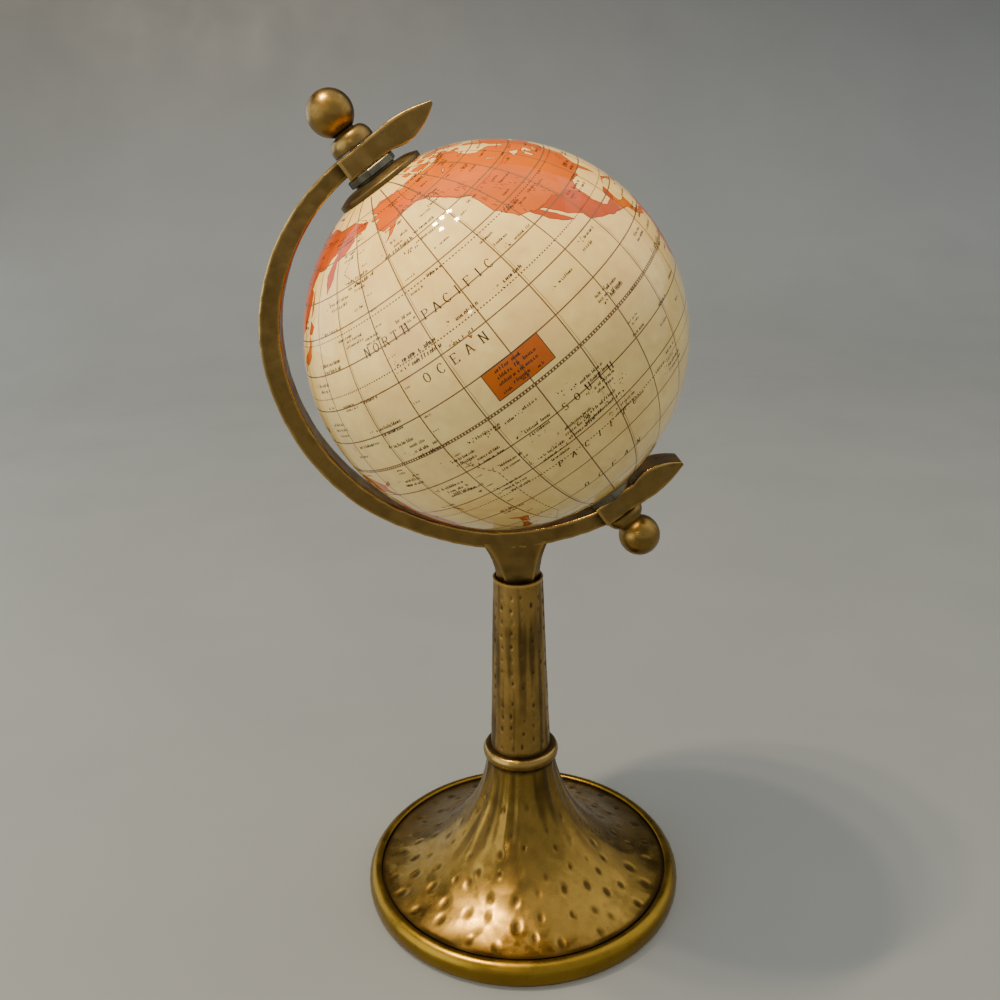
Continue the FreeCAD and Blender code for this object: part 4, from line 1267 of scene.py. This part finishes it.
# Generic names of oceans: first and last longitude, latitude, height and pen width in mm, and lean
NAMES = (
    ("NORTH PACIFIC", -186.8, -140.0, 29.6, 2.7, 0.43, 0.0), ("OCEAN", -172.7, -154.0, 16.1, 2.8, 0.43, 0.0),
    ("SOUTH", -148.0, -132.0, -11.0, 2.2, 0.43, 0.0), ("PACIFIC", -159.0, -130.5, -25.0, 2.0, 0.45, 0.3),
    ("OCEAN", -158.0, -134.0, -40.0, 2.0, 0.45, 0.3), ("NORTH", -62.0, -28.0, 33.5, 3.0, 0.38, 0.0),
    ("SOUTH", -30.0, 2.0, -22.0, 3.0, 0.38, 0.0), ("OCEAN", 62.0, 96.0, -17.0, 3.0, 0.38, 0.0),
)


def names(page):
    """Large letters spread evenly along parallels."""
    for text, start, stop, lat, height, width, lean in NAMES:
        for k, letter in enumerate(text):
            lon = mix(start, stop, k / (len(text) - 1))
            if letter != " ":
                page.strokes(GLYPHS[letter], lon, lat, height, width, "ink", lean)


# Small print's strokes as shares of its height: pen of the near upright, the bar and the far upright
NEAR_PEN, BAR_PEN, FAR_PEN = 0.29, 0.23, 0.27
MARK_WIDTH, MARK_GROWN = 0.42, 1.15


def marks(page, rng, lon, lat, length, height, rows=1):
    """Rows of short unlettered strokes, as small print looks from a distance."""
    height *= MARK_GROWN
    for row in range(rows):
        x = rng.uniform(0, 0.12) * length
        stop = length * rng.uniform(0.8, 1.0)
        y = -row * height * 1.75
        while x < stop:
            if rng.random() < 0.13:
                x += height * 0.6
                continue
            tall = height * (1.0 if rng.random() < 0.3 else 0.68)
            slant = height * 0.15
            far = x + height * MARK_WIDTH
            upright = [near(lon, lat, x, y), near(lon, lat, x + slant, y + tall)]
            page.ribbon(upright, height * NEAR_PEN, "ink")
            choice = rng.random()
            if choice < 0.65:
                top = y + tall * rng.choice((0.12, 0.5, 0.9))
                page.ribbon([near(lon, lat, x, top), near(lon, lat, far, top)], height * BAR_PEN, "ink")
            if choice > 0.35:
                upright = [near(lon, lat, far, y), near(lon, lat, far + slant, y + height * 0.68)]
                page.ribbon(upright, height * FAR_PEN, "ink")
            x += height * rng.uniform(0.66, 0.92)


FIFTH = 1.2566          # a fifth of a turn


def islets(page, rng, lon, lat, spread, count):
    """A scatter of tiny islands."""
    for _ in range(count):
        x, y = rng.gauss(0, spread), rng.gauss(0, spread * 0.6)
        size = rng.uniform(0.13, 0.32)
        corners = []
        for k in range(5):
            reach = size * rng.uniform(0.6, 1.2)
            east, north = x + reach * math.cos(k * FIFTH), y + reach * math.sin(k * FIFTH)
            corners.append(near(lon, lat, east, north))
        page.area(corners, "ink")


def cartouche(page, rng):
    """Plain orange panel with a thin border and rows of strokes."""
    west, east, low, high = -159.6, -141.8, 2.0, 10.1
    corners = [(west, low), (east, low), (east, high), (west, high)]
    page.area(corners, "cartouche")
    page.ribbon(corners + corners[:1], COAST_PEN, "ink", chunk=1)
    for row, (inset, length) in enumerate(((2.6, 13.2), (0.9, 16.6), (1.4, 15.6), (6.3, 5.6))):
        marks(page, rng, west + inset / MM_PER_DEGREE, high - 1.75 - 1.65 * row, length, 0.95)
    for inset in (2.2, 8.2, 14.0):
        marks(page, rng, west + inset / MM_PER_DEGREE, low + 0.75, 2.6, 0.8)


# Small print by island groups and coasts: longitude and latitude of its start, its length and height
# in mm, and how many rows
NOTES = (
    (-176.5, 23.8, 13.0, 1.20, 1), (-173.5, 21.8, 11.0, 1.10, 1), (-160.5, 20.2, 7.5, 0.85, 1),
    (-157.0, 24.6, 8.5, 1.0, 1), (-140.5, 24.4, 9.0, 1.05, 1), (-129.0, 15.0, 7.0, 0.8, 1),
    (163.5, 11.0, 12.0, 0.95, 2), (166.0, 5.2, 10.5, 0.95, 1), (171.0, 1.6, 9.5, 0.95, 2),
    (150.5, 7.8, 13.0, 1.0, 1), (143.0, 15.5, 9.0, 0.9, 2), (158.5, -6.0, 10.0, 0.9, 2),
    (168.5, -12.5, 10.5, 0.95, 3), (178.5, -5.8, 9.0, 0.85, 2), (-175.5, -8.6, 9.5, 0.85, 2),
    (-171.5, -3.2, 11.5, 0.9, 1), (-172.0, -13.8, 9.0, 0.85, 2), (-176.0, -20.3, 8.0, 0.85, 3),
    (175.5, -16.2, 7.0, 0.85, 1), (-166.5, -4.0, 8.0, 0.85, 1), (-160.0, -9.3, 8.5, 0.9, 2),
    (-161.5, -18.6, 9.5, 0.85, 3), (-156.8, -3.6, 7.0, 0.85, 1), (-152.0, -15.8, 11.5, 0.9, 3),
    (-146.0, -16.8, 15.0, 1.0, 2), (-141.5, -8.0, 10.0, 0.9, 2), (-139.0, -12.0, 9.0, 0.85, 2),
    (-137.0, -22.0, 9.0, 0.85, 2), (-131.5, -24.4, 7.0, 0.85, 1), (-121.0, 3.0, 9.0, 0.9, 1),
    (-112.0, -26.2, 9.0, 0.95, 2), (-94.0, 0.6, 9.5, 0.9, 2), (-113.0, 18.0, 7.0, 0.85, 1),
    (-129.0, 30.5, 8.0, 0.8, 1), (-150.5, 51.0, 9.0, 0.9, 1), (-166.0, 50.2, 11.0, 0.95, 1),
    (172.5, 50.4, 10.5, 0.95, 2), (160.0, 47.0, 8.5, 0.9, 2), (154.0, 40.0, 9.0, 0.95, 1),
    (150.0, 32.0, 11.0, 1.0, 2), (142.5, 27.0, 8.5, 0.9, 2), (165.0, 19.3, 7.0, 0.85, 1),
)


def notes(page, rng):
    """Small print and islets at the places listed, then both at random over the sea and the land."""
    for lon, lat, length, height, rows in NOTES:
        marks(page, rng, lon, lat, length, height, rows)
        islets(page, rng, lon - 1.2, lat + 0.5, 0.8, 5)
    for _ in range(10):
        islets(page, rng, rng.uniform(-165, -130), rng.uniform(-22, -6), 1.6, 6)
    for _ in range(190):
        lat = math.degrees(math.asin(rng.uniform(-0.92, 0.95)))
        lon = rng.uniform(-125, 190)
        if -50 < lon < 5 and lat < 5 and rng.random() < 0.7:
            continue
        marks(page, rng, lon, lat, rng.uniform(3.0, 8.5), rng.uniform(0.6, 0.95), rng.choice((1, 1, 1, 2)))
    for _ in range(60):
        lon, lat = rng.uniform(-165, -75), rng.uniform(32, 70)
        marks(page, rng, lon, lat, rng.uniform(2.5, 6.5), rng.uniform(0.55, 0.85))
    for k in range(30):
        marks(page, rng, 180.6, -66 + 4.4 * k, 2.6, 0.55)


RANGES = (
    "-152,62 -143,61 -133,58 -124,54 -117,50 -112,45 -107,39 -105,33 -103,26",
    "-122,48 -121,42 -119,37 -116,33",
    "-78,2 -79,-6 -75,-13 -69,-18 -69,-28 -70,-38 -72,-47", "-6,33 4,35 10,35.5", "6,45 11,47 15,47",
    "38,42 44,41 50,37", "68,35 75,36 80,31 88,28 95,28.5", "73,40 80,42 88,48 97,51 110,55 125,58 140,62",
    "36,12 38,7 36,0 34,-8", "146,-20 150,-27 149,-35", "60,66 59,58 58,52", "-82,34 -76,41",
)


def hills(page, rng):
    """Short brown hatching along the mountain ranges."""
    for text in RANGES:
        points = outline(text)
        for (x0, y0), (x1, y1) in zip(points, points[1:]):
            for _ in range(max(2, round(math.hypot(x1 - x0, y1 - y0) * 1.3))):
                t = rng.random()
                lon, lat = near(mix(x0, x1, t), mix(y0, y1, t), rng.gauss(0, 1.1), rng.gauss(0, 1.1))
                end = near(lon, lat, rng.uniform(-0.5, 0.9), rng.uniform(-1.3, -0.5))
                page.ribbon([(lon, lat), end], rng.uniform(0.16, 0.34), "border")


def map_page():
    """Everything that is printed on the ball."""
    page = Print()
    rng = random.Random(31)
    coasts = []
    for points in outlines(LAND):
        shore = rough(points)
        coasts.append(shore)
        page.area(shore, "land")
    for points in outlines(WATER):
        shore = rough(points, step=1.0, size=0.2)
        coasts.append(shore)
        page.area(shore, "water")
    for tint, text in REGIONS:
        border = rough(outline(text), step=1.5, size=0.5)
        page.area(border, tint)
        page.ribbon(border + border[:1], BORDER_PEN, "border")
    for shore in coasts:
        page.ribbon(shore + shore[:1], COAST_PEN, "coast", chunk=4)
    hills(page, rng)
    graticule(page)
    cartouche(page, rng)
    names(page)
    notes(page, rng)
    return page


def covered(kinds):
    """Colour of a face from everything that lies on it."""
    for kind, tint in PRINT_ORDER:
        if kind in kinds:
            return tint
    if "land" in kinds and "water" not in kinds:
        if "border" in kinds:
            return COAST_INK
        tints = [kind for kind in kinds if isinstance(kind, int)]
        return LAND_TINTS[max(tints)] if tints else LAND_TINTS[ORANGE]
    return SEA_TINT


def map_gores(material):
    """The printed sheet as one closed skin: fine triangles outside, plain ones inside."""
    page = map_page()
    flat, kept = page.sheet()
    verts, faces, colours, edge_points = [], [], [], []
    index = {}

    def vertex(i):
        if i not in index:
            x, y = flat[i]
            index[i] = len(verts)
            verts.append(ball_point(x, y))
            edge_points.append((x, y))
        return index[i]

    for face, kinds in kept:
        faces.append([vertex(i) for i in face])
        colours.append(covered(kinds))
    rims = []
    for sign in (-1, 1):
        ring = [k for k, (x, y) in enumerate(edge_points) if abs(y - sign * POLE_LAT) < 1e-6]
        rims.append(sorted(ring, key=lambda k: edge_points[k][0]))
    inner_points = []
    for rim in rims:
        inner_points += [edge_points[k] for k in rim]
    inner_points += [(x, mix(-POLE_LAT, POLE_LAT, j / 27)) for x in (WEST, EAST) for j in range(1, 27)]
    inner_points += inside_grid(6.0)
    cut = delaunay_2d_cdt([Vector(p) for p in inner_points], [], [], 0, 1e-6, True)
    first = len(verts)
    verts += [ball_point(x, y, MAP_R - SHEET) for x, y in cut[0]]
    for face in cut[2]:
        faces.append([first + i for i in reversed(face)])
        colours.append(SEA_TINT)
    inner_of = {}
    for new, olds in enumerate(cut[3]):
        for old in olds:
            inner_of[old] = first + new
    offset = 0
    for sign, rim in zip((-1, 1), rims):
        for a, b in zip(range(len(rim)), range(1, len(rim))):
            quad = [rim[b], rim[a], inner_of[offset + a], inner_of[offset + b]]
            faces.append(quad if sign < 0 else quad[::-1])
            colours.append(SEA_TINT)
        offset += len(rim)
    return skin_piece(verts, faces, colours, material)


def skin_piece(verts, faces, colours, material):
    """The sheet's mesh, with a slightly clouded tint on each face and normals that point off the ball."""
    mesh = bpy.data.meshes.new("printed_map")
    mesh.from_pydata([tuple(v) for v in verts], [], faces)
    tint = mesh.attributes.new("tint", "FLOAT_COLOR", "CORNER")
    values = []
    for face, colour in zip(faces, colours):
        for k in face:
            spot = verts[k] * 90
            cloud = 1 + 0.10 * noise.noise(spot) + 0.10 * noise.noise(spot * 3.7)
            values.extend((colour[0] * cloud, colour[1] * cloud**1.6, colour[2] * cloud**1.6, 1.0))
    tint.data.foreach_set("color", values)
    work = bmesh.new()
    work.from_mesh(mesh)
    bmesh.ops.remove_doubles(work, verts=work.verts, dist=2e-7)
    work.to_mesh(mesh)
    work.free()
    mesh.shade_smooth()
    normals = []
    for v in mesh.vertices:
        away = v.co - CENTRE
        sign = 1 if away.length > (MAP_R - SHEET / 2) * MM else -1
        normals.append(away.normalized() * sign)
    mesh.normals_split_custom_set_from_vertices(normals)
    obj = placed("printed_map", mesh)
    paint(mesh, material)
    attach(obj, "globe")
    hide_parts("map_gores")
    return obj


# ---------------------------------------------------------------- stage, lights and camera
FLOOR_GAP = 0.0002          # how far the floor lies under the object's lowest point


def stage(material):
    """Pale floor that curves up into a low wall far behind the object."""
    reach, turn_at, bend = 3.0, 0.80, 0.70
    rows = [(-reach, 0.0), (turn_at - 0.4, 0.0)]
    for k in range(17):
        angle = math.radians(90 * k / 16)
        rows.append((turn_at + bend * math.sin(angle), bend * (1 - math.cos(angle))))
    rows.append((turn_at + bend, 3.0))
    verts = [(x, y, z - FLOOR_GAP) for y, z in rows for x in (-reach, reach)]
    faces = [(2 * k, 2 * k + 1, 2 * k + 3, 2 * k + 2) for k in range(len(rows) - 1)]
    mesh = bpy.data.meshes.new("studio_floor")
    mesh.from_pydata(verts, [], faces)
    mesh.shade_smooth()
    paint(mesh, material)
    placed("studio_floor", mesh)


LAMP_COLOUR = (1.0, 0.77, 0.45)
# A cluster of five small lamps, and those of them that cast no shadow, to keep the floor's shadow faint
LAMPS = (
    (-0.500, 0.056, 1.682), (-0.450, -0.138, 1.696), (-0.691, -0.057, 1.605),
    (-0.648, -0.194, 1.615), (-0.598, -0.015, 1.648),
)
SHADOWLESS = (1, 3)


def area_light(name, place, target, width, height, power, colour):
    data = bpy.data.lights.new(name, "AREA")
    data.shape = "RECTANGLE"
    data.size, data.size_y = width, height
    data.energy = power
    data.color = colour
    obj = placed(name, data)
    obj.location = place
    obj.rotation_euler = (Vector(target) - Vector(place)).to_track_quat("-Z", "Y").to_euler()
    return obj


def lights():
    world = bpy.data.worlds.new("studio")
    bpy.context.scene.world = world
    world.use_nodes = True
    back = world.node_tree.nodes["Background"]
    back.inputs["Color"].default_value = (0.96, 0.98, 1.00, 1.0)
    back.inputs["Strength"].default_value = 0.66
    area_light("ceiling", (0.0, 0.1, 1.9), (0, 0, 0.15), 2.4, 2.0, 10.0, (1.0, 0.95, 0.88))
    area_light("window", (-0.95, 0.75, 0.42), (0, 0, 0.20), 0.9, 0.8, 3.5, (0.90, 0.96, 1.0))
    area_light("left_panel", (-1.15, -0.45, 0.40), (0, 0, 0.20), 1.2, 1.0, 8.0, (0.94, 0.98, 1.0))
    area_light("right_panel", (1.3, 0.20, 1.1), (0, 0, 0.20), 1.8, 1.5, 6.0, (0.98, 0.98, 0.95))
    for k, place in enumerate(LAMPS):
        lamp = area_light(f"lamp_{k}", place, CENTRE, 0.055, 0.055, 9.5, LAMP_COLOUR)
        lamp.data.use_shadow = k not in SHADOWLESS
    area_light("low_lamp", (-0.491, -1.314, 0.910), CENTRE, 0.05, 0.05, 1.0, LAMP_COLOUR)


def camera():
    data = bpy.data.cameras.new("camera")
    data.lens = 38.63
    data.sensor_width = 36.0
    data.clip_start = 0.01
    obj = placed("camera", data)
    obj.location = (-0.0367, -0.35227, 0.29173)
    yaw, pitch, roll = 5.0, -20.28, -1.28
    a, e = math.radians(yaw), math.radians(pitch)
    ahead = Vector((math.sin(a) * math.cos(e), math.cos(a) * math.cos(e), math.sin(e)))
    aim = ahead.to_track_quat("-Z", "Y").to_matrix() @ Matrix.Rotation(math.radians(roll), 3, "Z")
    obj.rotation_euler = aim.to_euler()
    bpy.context.scene.camera = obj


# ---------------------------------------------------------------- assembly
# Brasses: bright, middle and dark tones, lowest and highest roughness, patina, and depth of grain in metres
FINE = 0.00005
BRASSES = (
    ("bell", (0.32, 0.194, 0.040), (0.15, 0.089, 0.019), (0.018, 0.011, 0.005), 0.20, 0.32, 1.0, FINE),
    ("stem", (0.46, 0.285, 0.080), (0.21, 0.125, 0.032), (0.018, 0.012, 0.006), 0.24, 0.36, 1.0, FINE),
    ("satin", (0.30, 0.185, 0.022), (0.19, 0.112, 0.012), (0.03, 0.018, 0.006), 0.24, 0.36, 0.5, FINE),
    ("polished", (0.38, 0.248, 0.072), (0.22, 0.138, 0.036), (0.03, 0.018, 0.008), 0.19, 0.30, 0.6, FINE),
    ("cast", (0.31, 0.198, 0.060), (0.145, 0.088, 0.025), (0.025, 0.016, 0.007), 0.25, 0.38, 1.0, 0.00018),
    ("turned", (0.34, 0.212, 0.054), (0.14, 0.084, 0.022), (0.03, 0.018, 0.008), 0.24, 0.38, 1.2, 0.0002),
    ("dull", (0.20, 0.142, 0.055), (0.12, 0.084, 0.033), (0.03, 0.021, 0.009), 0.32, 0.46, 0.7, 0.0001),
)
# Each end of the spindle: side, distance from the ball's centre to the leaf's inside and outside
ENDS = (("north", 1, 68.0, 75.3), ("south", -1, 68.4, 76.4))


def hidden_parts(metal):
    """Give materials to the CAD nodes that no piece takes the place of."""
    shell = board()
    plastic = nylon()
    for nodes, material in (
        (("tie_rod", "tie_washer", "tie_nut", "axle_rod"), metal), (("ballast_disc",), iron()),
        (("felt_pad",), felt()), (("north_hemisphere", "south_hemisphere", "equator_band"), shell),
        (("north_hub_bush", "south_hub_bush"), plastic),
    ):
        for node in nodes:
            paint(frame["nodes"][node].data, material)


def main():
    brasses = {name: brass(f"brass_{name}", *values) for name, *values in BRASSES}
    plated = steel("plated_steel", (0.19, 0.176, 0.126), (0.080, 0.072, 0.051), 0.28, 0.45)
    bright = steel("bright_steel", (0.62, 0.61, 0.59), (0.38, 0.37, 0.36), 0.20, 0.34)
    paper = printed_map()

    foot_ring(brasses["satin"])
    base_bell(brasses["bell"])
    collar(brasses["polished"])
    stem_tube(brasses["stem"])
    arm(brasses["cast"])
    for name, side, inner, outer in ENDS:
        finial_ball(f"{name}_ball", side, outer, f"{name}_finial_ball", brasses["turned"])
        finial_washer(f"{name}_washer", side, outer, f"{name}_finial_washer", brasses["cast"])
        spacer(f"{name}_hex_spacer", side, inner, f"{name}_spacer", plated)
        pole_cap(f"{name}_cap", side, f"{name}_pole_cap", brasses["dull"])
    map_gores(paper)
    hidden_parts(bright)
    stage(floor_material())
    lights()
    camera()


main()
